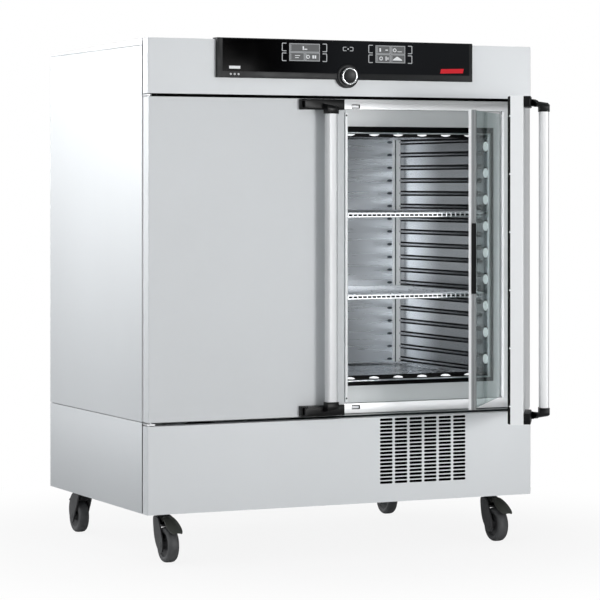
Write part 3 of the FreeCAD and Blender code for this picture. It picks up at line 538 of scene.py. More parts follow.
class Mesh:
    """Closed meshes under construction, in millimetres."""

    def __init__(self):
        self.bm = bmesh.new()

    def box(self, x0, x1, y0, y1, z0, z1):
        self.prism(rectangle(x0, x1, y0, y1), "z", z0, z1)

    def side_box(self, side, near, far, *rest):
        """Box on one side of the middle plane, between two distances from it."""
        self.box(*sorted((side * near, side * far)), *rest)

    def prism(self, outline, axis, low, high):
        """Outline across an axis, extruded along it; an X outline is (y, z), a Y one (x, z)."""
        place = {"x": lambda a, b, t: (t, a, b), "y": lambda a, b, t: (a, t, b),
                 "z": lambda a, b, t: (a, b, t)}[axis]
        rings = [[self.bm.verts.new(place(a, b, t)) for a, b in outline] for t in (low, high)]
        self.bm.faces.new(rings[0])
        self.bm.faces.new(rings[1])
        self.join(rings[0], rings[1])

    def join(self, first, second):
        """Band of faces between two rings of the same length."""
        count = len(first)
        for i in range(count):
            j = (i + 1) % count
            self.bm.faces.new((first[i], first[j], second[j], second[i]))

    def skin(self, rings, ends=False):
        """Bands of faces from ring to ring, with flat ends if asked for."""
        for first, second in zip(rings, rings[1:]):
            self.join(first, second)
        if ends:
            self.bm.faces.new(rings[0])
            self.bm.faces.new(rings[-1])

    def inset_rings(self, x0, x1, z0, z1, steps):
        """One rectangular ring for each (inset, y) step."""
        return [[self.bm.verts.new((x, y, z))
                 for x, z in rectangle(x0 + inset, x1 - inset, z0 + inset, z1 - inset)]
                for inset, y in steps]

    def lathe(self, profile, centre, axis, segments=48):
        """Turn (radius, along) points round an axis through a centre; ends at radius 0 are closed."""
        axis = Vector(axis).normalized()
        side = axis.orthogonal().normalized()
        other = axis.cross(side)
        rings = []
        for radius, along in profile:
            middle = Vector(centre) + axis * along
            if radius < 1e-6:
                rings.append([self.bm.verts.new(middle)])
                continue
            rings.append([self.bm.verts.new(middle + (side * cos(t) + other * sin(t)) * radius)
                          for t in circle(segments)])
        for first, second in zip(rings, rings[1:]):
            if len(first) == 1 or len(second) == 1:
                tip, ring = (first[0], second) if len(first) == 1 else (second[0], first)
                for i in range(segments):
                    self.bm.faces.new((tip, ring[i], ring[(i + 1) % segments]))
            else:
                self.join(first, second)
        if profile[0][0] > 1e-6:
            self.join(rings[-1], rings[0])

    def tube(self, points, radius, segments=10):
        """Round bar along a line of points, with flat ends."""
        points = [Vector(point) for point in points]
        rings = []
        normal = (points[1] - points[0]).orthogonal().normalized()
        for i, point in enumerate(points):
            before = (point - points[i - 1]).normalized() if i else (points[1] - points[0]).normalized()
            after = (points[i + 1] - point).normalized() if i + 1 < len(points) else before
            along = (before + after).normalized()
            normal = (normal - along * normal.dot(along)).normalized()
            other = along.cross(normal)
            widen = 1.0 / max(0.5, along.dot(before))
            rings.append([self.bm.verts.new(point + (normal * cos(t) + other * sin(t)) * radius
                                            * widen)
                          for t in circle(segments)])
        self.skin(rings, ends=True)

    def bead(self, x, y0, y1, z, half, out, segments=16, rings=8):
        """Long rounded bead on an upright wall at x, bulging by out, with round ends."""
        loops = []
        for k in range(1, 2 * rings):
            t = pi * k / (2 * rings)
            along = -cos(t) * half + (y0 if k < rings else y1)
            width = sin(t)
            loops.append([self.bm.verts.new((x + cos(a) * out * width, along,
                                             z + sin(a) * half * width))
                          for a in circle(segments)])
        self.skin(loops)
        for loop, along in ((loops[0], y0 - half), (loops[-1], y1 + half)):
            tip = self.bm.verts.new((x, along, z))
            for i in range(segments):
                self.bm.faces.new((tip, loop[i], loop[(i + 1) % segments]))

    def border(self, x0, x1, z0, z1, profile):
        """Mitred rectangular frame swept with a closed profile of (inset, y) points."""
        rings = self.inset_rings(x0, x1, z0, z1, profile)
        for first, second in zip(rings, rings[1:] + rings[:1]):
            self.join(first, second)

    def stepped_plate(self, x0, x1, z0, z1, steps, back):
        """Plate whose face steps through (inset, y) rings, closed by a flat middle and back."""
        self.skin(self.inset_rings(x0, x1, z0, z1, [(0.0, back)] + steps), ends=True)


def turn_about(point, degrees):
    """Turn about the upright line through a point."""
    middle = Matrix.Translation(point)
    return middle @ Matrix.Rotation(radians(degrees), 4, "Z") @ middle.inverted()


def place_on_door(side, joint_name):
    """Carry closed right-hand door coordinates to where the door stands at rest."""
    if side == "left":
        return Matrix.Scale(-1, 4, (1, 0, 0))
    return turn_about(pivot(joint_name), -JOINTS[joint_name]["range_deg"][0])


def make_piece(name, mesh, body, slot, material=None, place=None, bevel=0.0, replaces=(), angle=30.0,
               segments=3):
    """Turn built geometry into a piece that rides on a body."""
    bm = mesh.bm
    if place is not None:
        bmesh.ops.transform(bm, matrix=place, verts=bm.verts)
    bmesh.ops.scale(bm, vec=(MM, MM, MM), verts=bm.verts)
    bmesh.ops.recalc_face_normals(bm, faces=bm.faces)
    data = bpy.data.meshes.new(name)
    bm.to_mesh(data)
    bm.free()
    smooth_mesh(data, angle)
    data.materials.append(material or MATERIALS[slot])
    piece = bpy.data.objects.new(name, data)
    bpy.context.scene.collection.objects.link(piece)
    if bevel:
        add_bevel(piece, bevel, segments)
    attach(piece, body)
    if replaces:
        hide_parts(*replaces)
    return piece


def fixed(name, mesh, slot, material=None, **options):
    """Piece of the cabinet itself."""
    return make_piece(name, mesh, "cabinet", slot, material, **options)


# ---- chamber

def chamber():
    """Steel chamber with pressed shelf ribs and a grooved floor; black strips along each rib's upper and lower
    edge paint the shade of its creases.
    """
    shell = Mesh()
    x, z0, z1, y0, y1 = CHAMBER_X, CHAMBER_Z0, CHAMBER_Z1, LINER.y0, LINER.y1 - SHEET
    for side in (-1, 1):
        shell.side_box(side, x, x + SHEET, y0, y1 + SHEET, z0 - SHEET, z1 + SHEET)
    shell.box(-x, x, y0, y1 + SHEET, z1, z1 + SHEET)
    shell.box(-x, x, y1, y1 + SHEET, z0 - SHEET, z1)
    fixed("chamber_shell", shell, "chamber_steel", WALL_STEEL_PAINTED_SHADE, replaces=["chamber_liner"])

    floor = Mesh()
    floor.box(-x, x, y0, y1, z0 - SHEET, z0)
    fixed("chamber_floor", floor, "chamber_steel", FLOOR_STEEL)

    half, out, crease = 4.2, 5.0, 2.1
    # Black strips along the ribs' edges are painted shade in the creases.
    beads, crease_shade_strips = Mesh(), Mesh()
    first_y, last_y = y0 + 50, BAFFLE_Y - 5
    for index in range(RIB_COUNT):
        z = RIB_Z0 + index * RIB_PITCH
        for side in (-1, 1):
            beads.bead(side * x, first_y, last_y, z, half, out)
            for step in (-1, 1):
                crease_shade_strips.bead(side * x, first_y, last_y, z + step * (half + crease - 0.2), crease, 0.7, 8, 3)
    fixed("shelf_ribs", beads, "chamber_steel", WALL_STEEL_PAINTED_SHADE, angle=60)
    fixed("rib_crease_shade_strips", crease_shade_strips, "seal_rubber", CREASE_SHADE_BLACK, angle=60)


def chamber_studs():
    """Domed studs round the chamber mouth that glow as a painted highlight, each on a dark ring that paints the
    shade round it, and the dark bands under them.
    """
    dome = [(0, 6.0), (5, 5.7), (10, 4.5), (13.5, 2.6), (15, 0.8), (15, -0.4), (0, -0.4)]
    shade_ring = [(14.5, -0.2), (14.5, 1.0), (18, 0.9), (19, 0.4), (19, -0.2)]
    places = [((index * STUD_PITCH, FLOOR_STUD_Y, CHAMBER_Z0), (0, 0, 1)) for index in range(-6, 7)]
    places += [((index * STUD_PITCH, FLOOR_STUD_Y, CHAMBER_Z1), (0, 0, -1)) for index in range(-6, 7)]
    top = CHAMBER_Z1 - 35
    for side in (-1, 1):
        places += [((side * CHAMBER_X, WALL_STUD_Y, top - index * STUD_PITCH), (-side, 0, 0))
                   for index in range(9)]
    studs, shade_rings = Mesh(), Mesh()
    for centre, inward in places:
        studs.lathe(dome, centre, inward, 24)
        # Painted shade: a dark ring round each stud.
        shade_rings.lathe(shade_ring, centre, inward, 24)
    fixed("mouth_studs", studs, "silver", GLOWING_MARKS["stud_highlight_glow"], angle=60)
    fixed("stud_shade_rings", shade_rings, "seal_rubber", angle=60)

    bands = Mesh()
    for z, up in ((CHAMBER_Z0, 1), (CHAMBER_Z1, -1)):
        back = FLOOR_STUD_Y + 19
        bands.prism([(LINER.y0 + 4, z - up * 0.5), (back, z - up * 0.5), (back, z + up * 9.0),
                     (back - 1.5, z + up * 9.0), (back - 2.5, z + up * 0.8), (LINER.y0 + 4, z + up * 0.8)],
                    "x", -CHAMBER_X + 1, CHAMBER_X - 1)
    fixed("stud_bands", bands, "seal_rubber", bevel=0.3)


def mouth_trim():
    """Rolled steel lip of the chamber mouth, and black strips that paint the shade in the gaps round the opening
    and under the header.
    """
    lip = Mesh()
    y = LINER.y0
    lip.border(-CHAMBER_X - 3.5, CHAMBER_X + 3.5, CHAMBER_Z0 - 6.5, CHAMBER_Z1 + 6.5,
               [(0, y - 1), (0, y - 3), (1.5, y - 5.5), (3.5, y - 6.5), (5.5, y - 5.5), (6.5, y - 3),
                (6.5, y + 3), (4, y + 3)])
    fixed("mouth_lip", lip, "silver", LIP_STEEL, angle=60)
    # Painted shade: a black ring in the gap round the opening.
    gap_shade = Mesh()
    gap_shade.border(-OPENING_X - 1.2, OPENING_X + 1.2, OPENING_Z[0] - 1.2, OPENING_Z[1] + 1.2,
               [(0, REBATE_Y - 6), (1.6, REBATE_Y - 6), (1.6, REBATE_Y + 1), (0, REBATE_Y + 1)])
    fixed("opening_shadow_gap", gap_shade, "seal_rubber")
    # Painted shade: a black strip in the gap under the header.
    strip = Mesh()
    strip.box(-597, 597, FRONT_Y + 1.2, FRONT_Y + 6, DOOR.z1 + 0.6, HEADER.z0 - 0.1)
    fixed("header_gap_shade", strip, "seal_rubber", SHADE_BLACK)


def pale_jamb_highlights():
    """Pale strips down the sides of the frame's opening, with a return on the flange: a painted highlight where
    light falls on the jambs.
    """
    jamb_highlights = Mesh()
    z0, z1 = OPENING_Z[0] + 1, OPENING_Z[1] - 1
    for side in (-1, 1):
        # Painted highlight: pale strips on the jamb faces and the flange beside them.
        jamb_highlights.side_box(side, OPENING_X - 0.5, OPENING_X + 0.3, FLANGE_Y - 0.3, REBATE_Y - 6.2, z0, z1)
        jamb_highlights.side_box(side, OPENING_X + 0.3, OPENING_X + 13, FLANGE_Y - 0.3, FLANGE_Y + 0.3, z0, z1)
    return fixed("pale_jamb_highlights", jamb_highlights, "profile_white", bevel=0.2)


def baffle_edges():
    """Folded upright edges of the air baffle in a paler steel that paints their highlight, and its row of small
    air slots beside each rib, which are not cut: dark discs paint the shade inside them.
    """
    folds, lines, slots = Mesh(), Mesh(), Mesh()
    z0, z1 = CHAMBER_Z0 + 7, CHAMBER_Z1 - 7
    for side in (-1, 1):
        for low, high, out in ((494.0, 501.0, 3.0), (505.4, CHAMBER_X - 0.3, 4.5)):
            folds.side_box(side, low, high, BAFFLE_Y - out, BAFFLE_Y + 3, z0, z1)
        lines.side_box(side, 501.2, 505.2, BAFFLE_Y - 1.0, BAFFLE_Y + 2, z0, z1)
        # Uncut air slots: dark discs that paint the shade inside them.
        for index in range(RIB_COUNT):
            z = RIB_Z0 + index * RIB_PITCH
            for half_x, half_z, out in ((9.0, 4.0, 0.5), (5.5, 2.6, 0.8)):
                outline = [(side * SLOT_X + half_x * cos(t), z + half_z * sin(t))
                           for t in circle(20)]
                slots.prism(outline, "y", BAFFLE_Y - out, BAFFLE_Y + 0.3)
    # The folds' pale steel is a painted highlight.
    fixed("baffle_folds", folds, "chamber_steel", FOLD_STEEL, bevel=1.0)
    fixed("baffle_seam", lines, "chamber_steel", DARK_STEEL)
    fixed("baffle_slot_shade", slots, "seal_rubber", DARK_STEEL, bevel=0.2)


def wire_shelf(node):
    """Shelf of close round wires whose front ends turn down to a second border bar, and a black strip behind them
    that paints the shade between the front bars.
    """
    box = Box(node)
    z = (box.z0 + box.z1) / 2
    bar, wire = 3.0, 1.9
    x, y0, y1 = box.x1 - bar, box.y0 + bar, box.y1 - bar
    grid = Mesh()
    for y in (y0, y1):
        grid.tube([(-x, y, z), (x, y, z)], bar, 12)
    for side in (-1, 1):
        grid.tube([(side * x, y0, z), (side * x, y1, z)], bar, 12)
    for y in (y0 + 170, y0 + 350):
        grid.tube([(-x, y, z), (x, y, z)], 2.4, 10)
    grid.tube([(-x + 12, y0, z - 9.5), (x - 12, y0, z - 9.5)], 2.6, 12)
    count = int((x - 8) / WIRE_PITCH)
    for index in range(-count, count + 1):
        across = index * WIRE_PITCH
        grid.tube([(across, y1, z + bar + 0.6), (across, y0, z + bar + 0.6), (across, y0 - 2.4, z + 1.5),
                   (across, y0 - 2.4, z - 9.5)], wire, 8)
    make_piece("wires_" + node, grid, node, "stainless", WIRE_STEEL, replaces=[node], angle=50)
    # Painted shade: a black strip behind the front bars, between them and the lower bar.
    strip = Mesh()
    strip.box(-x + 14, x - 14, y0 + 3.2, y0 + 4.6, z - 8.5, z + 1.0)
    make_piece("shelf_shade_strip_" + node, strip, node, "seal_rubber", bevel=0.4)


def shelf_rails():
    """Rounded rails that carry the shelves between two ribs."""
    rails = Mesh()
    for node in ("lower_shelf", "upper_shelf"):
        box = Box(node)
        for side in (-1, 1):
            rails.side_box(side, box.x1 - 8, CHAMBER_X, box.y0 + 50, box.y1, box.z0 - 5, box.z0 - 0.3)
    fixed("shelf_rails", rails, "chamber_steel", bevel=1.4)


def mouth_catches():
    """Catches of the glass doors: a light plate on the front flange inside a dark bracket that paints the catch's
    shadow.
    """
    box = Box("frame_fittings")
    shadow_rims, plates = Mesh(), Mesh()
    for z0 in (box.z0, box.z1 - 12.0):
        z1 = z0 + 12.0
        shadow_rims.prism([(41, z0), (66, z0), (66, z1), (41, z1), (41, z1 - 2.6), (61.5, z1 - 2.6),
                    (61.5, z0 + 2.6), (41, z0 + 2.6)], "y", FLANGE_Y - 3.2, FLANGE_Y)
        plates.box(41, 61.2, FLANGE_Y - 1.6, FLANGE_Y, z0 + 2.8, z1 - 2.8)
    # Painted shadow: the dark bracket round each plate.
    fixed("catch_shadow_rims", shadow_rims, "seal_rubber", bevel=0.3)
    fixed("catch_plates", plates, "stainless", bevel=0.6)


# ---- doors

def outer_door(side):
    """Gasket with its clips and the pressed inner plate of one outer door."""
    body = side + "_door"
    place = place_on_door(side, "right_door_swing")
    free_x, hinge_x = DOOR_FREE_X[side], -DOOR.x0
    z0, z1 = DOOR.z0, DOOR.z1
    back = DOOR.y1
    gasket_x0, gasket_x1 = free_x + 1.0, hinge_x - 16.0

    gasket = Mesh()
    bulb = [(0, 0), (0, 2.2), (1.6, 3.2), (0.7, 5.2), (2.6, 7.4), (6.4, 7.4), (8.3, 5.2), (7.4, 3.2),
            (9, 2.2), (9, 0)]
    gasket.border(gasket_x0, gasket_x1, z0 + 1, z1 - 1, [(inset, back + y) for inset, y in bulb])
    make_piece(body + "_seal", gasket, body, "seal_rubber", place=place, bevel=0.5,
               replaces=[body + "_gasket"], segments=2)

    clips = Mesh()
    pitch, margin = 160.0, 56.0
    for index in range(6):
        centre = (gasket_x0 + 0.4, back + 1.2, z1 - margin - index * pitch)
        clips.lathe([(0, 0.95), (1.6, 0.8), (2.4, 0.2), (2.4, -0.5), (0, -0.5)], centre, (-1, 0, 0), 16)
    make_piece(body + "_seal_clips", clips, body, "profile_white", place=place)

    plate = Mesh()
    rise = 1.4
    steps = [(0, back), (34, back), (36, back + 0.3), (40, back + rise - 0.3), (43, back + rise)]
    plate.stepped_plate(free_x + 1.5, hinge_x - 1.5, z0 + 1.5, z1 - 1.5, steps, back - 1.5)
    make_piece(body + "_pressing", plate, body, "stainless", DOOR_STEEL[side], place=place, bevel=0.8,
               replaces=[body + "_inner_plate"], segments=2)


def handle_bar(side):
    """Extruded grip with rounded corners."""
    body = side + "_handle"
    turn = Matrix.Identity(4)
    if side == "right":
        turn = turn_about(HANDLE_PIVOT, -JOINTS["right_handle_turn"]["range_deg"][0])
    x0 = DOOR_FREE_X[side] + 47.0
    x1, y0, y1, radius = x0 + 34.0, FRONT_Y - 56.0, FRONT_Y - 30.0, 8.0
    outline = []
    for centre_x, centre_y, start in ((x0 + radius, y0 + radius, 180), (x1 - radius, y0 + radius, 270),
                                      (x1 - radius, y1 - radius, 0), (x0 + radius, y1 - radius, 90)):
        for step in range(9):
            t = radians(start + step * 90 / 8)
            outline.append((centre_x + radius * cos(t), centre_y + radius * sin(t)))
    bar = Mesh()
    bar.prism(outline, "z", BAR.z0, BAR.z1)
    make_piece(side + "_grip_bar", bar, body, "handle_aluminium", BAR_METAL[side],
               place=place_on_door(side, "right_door_swing") @ turn, replaces=[side + "_handle_bar"])


def glass_door(side):
    """Hinge rail, closing edge and its screws, and the channel of the right inner glass door."""
    body = side + "_glass_door"
    place = place_on_door(side, "right_glass_swing")
    free_x = GLASS_FREE_X[side]
    hinge = pivot("right_glass_swing")
    front, back = hinge.y - GLASS_T / 2, hinge.y + GLASS_T / 2
    z0, z1 = GLASS.z0, GLASS.z1
    rail = Mesh()
    rail.box(hinge.x - 12, hinge.x - 3, front, back, z0, z1)
    rail.lathe([(0, z0), (4.6, z0), (5.5, z0 + 1), (5.5, z1 - 1), (4.6, z1), (0, z1)],
               (hinge.x, hinge.y, 0), (0, 0, 1), 32)
    make_piece(side + "_glass_rail", rail, body, "profile_white", place=place, bevel=0.8,
               replaces=[side + "_glass_profiles"])
    strip = Mesh()
    strip_front = front if side == "right" else front - 3
    strip.box(free_x, free_x + GLASS_EDGE_W, strip_front, back, z0, z1)
    make_piece(side + "_glass_edge", strip, body, "profile_white", place=place, bevel=1.2)
    screws = Mesh()
    for z in (z0 + 11, z1 - 9):
        screws.lathe([(0, 0.8), (1.6, 0.7), (2.6, 0.1), (2.6, -0.6), (0, -0.6)],
                     (free_x + 4.5, strip_front, z), (0, -1, 0), 20)
    make_piece(side + "_edge_screws", screws, body, "black_plastic", place=place)
    if side == "left":
        return
    depth, wall, flange = 12.0, 3.0, 14.0
    out = front - depth
    channel = Mesh()
    grip = Box("right_glass_finger_grip")
    for low, high, inner in ((z0, grip.z0, 0.0), (grip.z0, grip.z1, 1.6), (grip.z1, z1, 0.0)):
        face = free_x + inner
        groove = free_x + inner + 2.0
        channel.prism([(face, front), (face, front - 4.2), (groove, front - 4.8), (groove, front - 6.8),
                       (face, front - 7.4), (face, out), (free_x + flange, out), (free_x + flange, out + 2),
                       (free_x + wall, out + 2), (free_x + wall, front)], "z", low, high)
    make_piece("right_glass_channel", channel, body, "handle_aluminium", CHANNEL_METAL, place=place,
               bevel=0.3, segments=2)


# ---- control panel

def bracket(mesh, x, z, width, height, stroke, opens):
    """Square bracket printed on the panel; opens is +1 where its open side faces +X."""
    back = x - opens * width / 2
    front = x + opens * width / 2
    low, high = z - height / 2, z + height / 2
    inner = back + opens * stroke
    slope = stroke * 0.9
    outline = [(back + opens * slope, low), (front, low), (front, low + stroke),
               (inner + opens, low + stroke), (inner, low + stroke + 1), (inner, high - stroke - 1),
               (inner + opens, high - stroke), (front, high - stroke), (front, high),
               (back + opens * slope, high), (back, high - slope), (back, low + slope)]
    mesh.prism(outline, "y", PRINT_Y - 0.3, PRINT_Y + 0.3)


def control_panel():
    """Printed touch marks, display tiles and the plain coloured bars of the control panel."""
    marks, lines, glyphs = Mesh(), Mesh(), Mesh()
    z_mid = (DISPLAYS.z0 + DISPLAYS.z1) / 2
    for centre in (-DISPLAY_X, DISPLAY_X):
        for row in (-1, 1):
            for side in (-1, 1):
                bracket(marks, centre + side * (DISPLAY_W / 2 + 15.5), z_mid + row * 14.0, 14.0, 24.0, 2.2,
                        -side)
    for side in (-1, 1):
        bracket(marks, 1 + side * 11.0, z_mid + 12.5, 11.0, 12.0, 1.8, -side)
    marks.lathe([(0, 0.3), (2.4, 0.3), (2.4, -0.3), (0, -0.3)], (1, PRINT_Y, z_mid + 12.5), (0, -1, 0), 20)
    fixed("touch_marks", marks, "silver", GLOWING_MARKS["mark"])

    front, behind = PRINT_Y - 0.25, PRINT_Y + 0.3
    low, high, half = DISPLAYS.z0 + 1, DISPLAYS.z1 - 1, DISPLAY_W / 2 - 1
    for centre, split_top in ((-DISPLAY_X, False), (DISPLAY_X, True)):
        tiles = [(centre - half, centre - 0.8, low, z_mid - 0.7),
                 (centre + 0.8, centre + half, low, z_mid - 0.7)]
        if split_top:
            tiles += [(centre - half, centre - 0.8, z_mid + 0.7, high),
                      (centre + 0.8, centre + half, z_mid + 0.7, high)]
        else:
            tiles += [(centre - half, centre + half, z_mid + 0.7, high)]
        for x0, x1, z0, z1 in tiles:
            lines.border(x0, x1, z0, z1, [(0, front), (1.5, front), (1.5, behind), (0, behind)])
            lines.prism(rectangle(x0 + 3.5, x0 + 5.2, z0 + 3.5, z1 - 3.5), "y", front, behind)
    fixed("tile_lines", lines, "display", GLOWING_MARKS["line"])

    row_top, row_low = z_mid + 12.0, z_mid - 12.5
    ring = [(3.4, -0.3), (3.4, 0.3), (5.6, 0.3), (5.6, -0.3)]
    for x, z in ((-DISPLAY_X + 11, row_low), (DISPLAY_X + 14, row_top), (DISPLAY_X - 30, row_low)):
        glyphs.lathe(ring, (x, PRINT_Y, z), (0, -1, 0), 20)
    for x, z, width, height in ((-DISPLAY_X - 4, row_top, 4, 11), (-DISPLAY_X + 4, row_top - 3, 9, 3),
                                (-DISPLAY_X + 27, row_low, 5, 9), (-DISPLAY_X + 34, row_low, 5, 9),
                                (-DISPLAY_X - 22, row_low + 3, 16, 1.8),
                                (-DISPLAY_X - 24, row_low - 3, 11, 1.8),
                                (DISPLAY_X - 33, row_top, 5, 10), (DISPLAY_X - 12, row_top, 8, 3),
                                (DISPLAY_X + 30, row_top - 4, 14, 1.8), (DISPLAY_X - 14, row_low, 3, 12),
                                (DISPLAY_X - 8, row_low, 3, 7)):
        glyphs.prism(rectangle(x - width / 2, x + width / 2, z - height / 2, z + height / 2),
                     "y", front - 0.1, behind)
    glyphs.prism([(DISPLAY_X + 8, row_low - 5), (DISPLAY_X + 38, row_low - 5), (DISPLAY_X + 38, row_low - 3),
                  (DISPLAY_X + 24, row_low + 6), (DISPLAY_X + 20, row_low + 6), (DISPLAY_X + 8, row_low - 3)],
                 "y", front - 0.1, behind)
    fixed("tile_glyphs", glyphs, "display", GLOWING_MARKS["glyph"])

    bars = Mesh()
    label_x = PANEL.x0 + 37.0
    bars.prism(rectangle(label_x - 17, label_x + 17, PANEL.z0 + 7, PANEL.z0 + 15),
               "y", PRINT_Y - 0.3, PRINT_Y + 0.4)
    for offset in (-12.0, 0.0, 12.0):
        bars.lathe([(1.4, -0.3), (1.4, 0.3), (2.8, 0.3), (2.8, -0.3)],
                   (label_x + offset, PANEL.y0, PANEL.z0 - 8), (0, -1, 0), 16)
    fixed("label_bar", bars, "silver", GLOWING_MARKS["glyph"])
    badge = Mesh()
    badge.prism([(PANEL.x1 - 97, PANEL.z0 + 5), (PANEL.x1 - 22, PANEL.z0 + 7), (PANEL.x1 - 19, PANEL.z0 + 20),
                 (PANEL.x1 - 94, PANEL.z0 + 18)], "y", PRINT_Y - 0.3, PRINT_Y + 0.4)
    fixed("red_bar", badge, "black_plastic", GLOWING_MARKS["red"])


def knob():
    """Silver ring with a chamfered lip round a slightly dished dark cap."""
    ring = Mesh()
    front = KNOB.y0
    back = KNOB.y1
    outer, inner = (KNOB.x1 - KNOB.x0) / 2, 19.1
    ring.lathe([(inner, -back), (outer, -back), (outer, -front - 2.2), (outer - 0.6, -front - 0.7),
                (outer - 2.0, -front), (inner + 1.6, -front - 0.2), (inner + 0.3, -front - 1.2),
                (inner, -front - 2.4)], (0, 0, KNOB_Z), (0, -1, 0), 72)
    make_piece("knob_lip", ring, "knob_ring", "silver", replaces=["knob_ring"], angle=40)
    cap_box = Box("knob_cap")
    cap = Mesh()
    cap_r = 18.9
    face = -cap_box.y0
    cap.lathe([(0, face - 1.6), (9, face - 1.3), (15, face - 0.5), (cap_r - 1.2, face), (cap_r, face - 1.0),
               (cap_r, face - 7), (8, face - 7), (8, -cap_box.y1), (0, -cap_box.y1)],
              (0, 0, KNOB_Z), (0, -1, 0), 64)
    make_piece("knob_centre", cap, "knob_cap", "panel_plastic", replaces=["knob_cap"], angle=40)


# ---- castors

def smooth_outline(points, steps=5):
    """Closed curve through the points."""
    count = len(points)
    curve = []
    for i in range(count):
        a, b, c, d = (Vector(points[(i + k) % count]) for k in (-1, 0, 1, 2))
        for step in range(steps):
            t = step / steps
            curve.append(tuple(0.5 * (2 * b + (c - a) * t + (2 * a - 5 * b + 4 * c - d) * t * t
                                      + (3 * b - a - 3 * c + d) * t ** 3)))
    return curve


def mirrored(profile):
    """Profile continued on the far side of the wheel's middle."""
    return profile + [(radius, -along) for radius, along in reversed(profile)]


def place_castor(end, side):
    stem = pivot("castor_swivel_%s_%s" % (end, side))
    turn = Matrix.Rotation(pi, 4, "Z") if end == "rear" else Matrix.Identity(4)
    return Matrix.Translation((stem.x, stem.y, 0)) @ turn


FORK_OUTLINE = {
    "front": [(17, 125), (17, 95), (9, 66), (-6, 44), (-24, 31), (-40, 28), (-50, 38), (-50, 60), (-40, 82),
              (-30, 104), (-14, 124)],
    "rear": [(16, 125), (9, 100), (-9, 70), (-25, 44), (-33, 32), (-46, 32), (-60, 48), (-65, 70), (-60, 92),
             (-46, 112), (-20, 125)],
}
HEAD_R = 19.3
HOOD_ANGLES = {"front": (84, 118), "rear": (56, 118)}


def castor(end, side):
    """Fork with a rounded hood, swivel head, tyre and hub of one castor."""
    label = "%s_%s" % (end, side)
    place = place_castor(end, side)
    fork = Mesh()
    outline = smooth_outline(FORK_OUTLINE[end])
    for low, high in ((-23.5, -18.6), (18.6, 23.5)):
        fork.prism(outline, "x", low, high)
    hood_in, hood_out, steps = 53.0, 57.0, 12
    start, stop = HOOD_ANGLES[end]
    angles = [radians(start + (stop - start) * k / steps) for k in range(steps + 1)]
    hood = [(-TRAIL - cos(t) * hood_out, WHEEL_R + sin(t) * hood_out) for t in angles]
    hood += [(-TRAIL - cos(t) * hood_in, WHEEL_R + sin(t) * hood_in) for t in reversed(angles)]
    fork.prism(hood, "x", -22, 22)
    for x in (-1, 1):
        fork.lathe([(0, 24.6), (7, 24.6), (9, 23.4), (9, 20), (0, 20)], (0, -TRAIL, WHEEL_R), (x, 0, 0), 24)
    make_piece("fork_" + label, fork, "castor_" + label, "castor_plastic", place=place, bevel=1.6,
               replaces=["castor_fork_" + label])
    head = Mesh()
    head.lathe([(0, 103), (HEAD_R - 4, 103), (HEAD_R - 0.5, 107), (HEAD_R, 112), (HEAD_R, 131),
                (HEAD_R - 1.5, 134), (0, 134)], (0, 0, 0), (0, 0, 1), 40)
    make_piece("swivel_head_" + label, head, "castor_" + label, "black_plastic", place=place, bevel=0.6)

    tyre = Mesh()
    half = 16.0
    profile = [(34, -half + 2), (36, -half + 0.6), (43, -half), (46.5, -half + 1.2), (49, -half + 4.5),
               (WHEEL_R, -half + 10)]
    tyre.lathe(mirrored(profile), (0, -TRAIL, WHEEL_R), (1, 0, 0), 72)
    make_piece("tyre_" + label, tyre, "wheel_" + label, "tread", place=place,
               replaces=["castor_wheel_" + label], angle=40)
    hub = Mesh()
    profile = [(6.2, -17), (11, -17), (12.5, -15.5), (13, -9.5), (29, -8), (32, -9.5), (34.6, -13.5)]
    hub.lathe(mirrored(profile), (0, -TRAIL, WHEEL_R), (1, 0, 0), 64)
    make_piece("hub_" + label, hub, "wheel_" + label, "castor_plastic", place=place, angle=40)


def brake_pedal(side):
    """Domed leaf-shaped pedal: its crest runs forward and down, its edges droop."""
    hinge = pivot("brake_press_" + side)
    stem = pivot("castor_swivel_front_" + side)
    start_y, z = hinge.y - stem.y, hinge.z
    crest = [(start_y + 3, z + 8.6), (start_y - 10, z + 7.0), (-57, 124.5), (-71, 118.5), (-84, 111.0),
             (-95, 103.5), (-105, 96.0), (-111, 91.0)]
    half_width = [14.0, 16.0, 20.0, 21.5, 21.5, 20.0, 16.5, 11.0]
    droop = [1.0, 3.0, 7.0, 9.0, 9.0, 7.5, 5.0, 2.0]
    across = [-1.0, -0.9, -0.7, -0.45, -0.2, 0.0, 0.2, 0.45, 0.7, 0.9, 1.0]
    leaf = Mesh()
    thick = 3.0
    layers = []
    for depth in (0.0, thick):
        layers.append([[leaf.bm.verts.new((v * w, y, height - d * v * v - depth)) for v in across]
                       for (y, height), w, d in zip(crest, half_width, droop)])
    rows, columns = len(crest), len(across)
    for layer in layers:
        for i in range(rows - 1):
            for j in range(columns - 1):
                leaf.bm.faces.new((layer[i][j], layer[i][j + 1], layer[i + 1][j + 1], layer[i + 1][j]))
    rim = [(i, 0) for i in range(rows)] + [(rows - 1, j) for j in range(1, columns)]
    rim += [(i, columns - 1) for i in range(rows - 2, -1, -1)] + [(0, j) for j in range(columns - 2, 0, -1)]
    leaf.join([layers[0][i][j] for i, j in rim], [layers[1][i][j] for i, j in rim])
    leaf.lathe([(3.2, -15.5), (5.6, -15.5), (6, -15), (6, 15), (5.6, 15.5), (3.2, 15.5)], (0, start_y, z),
               (1, 0, 0), 24)
    piece = make_piece("pedal_" + side, leaf, "brake_pedal_" + side, "castor_plastic", PEDAL_PLASTIC,
                       place=place_castor("front", side), replaces=["brake_pedal_" + side], angle=50)
    rounding = piece.modifiers.new("rounding", "SUBSURF")
    rounding.levels = 2
    rounding.render_levels = 2


# ---- base and rear

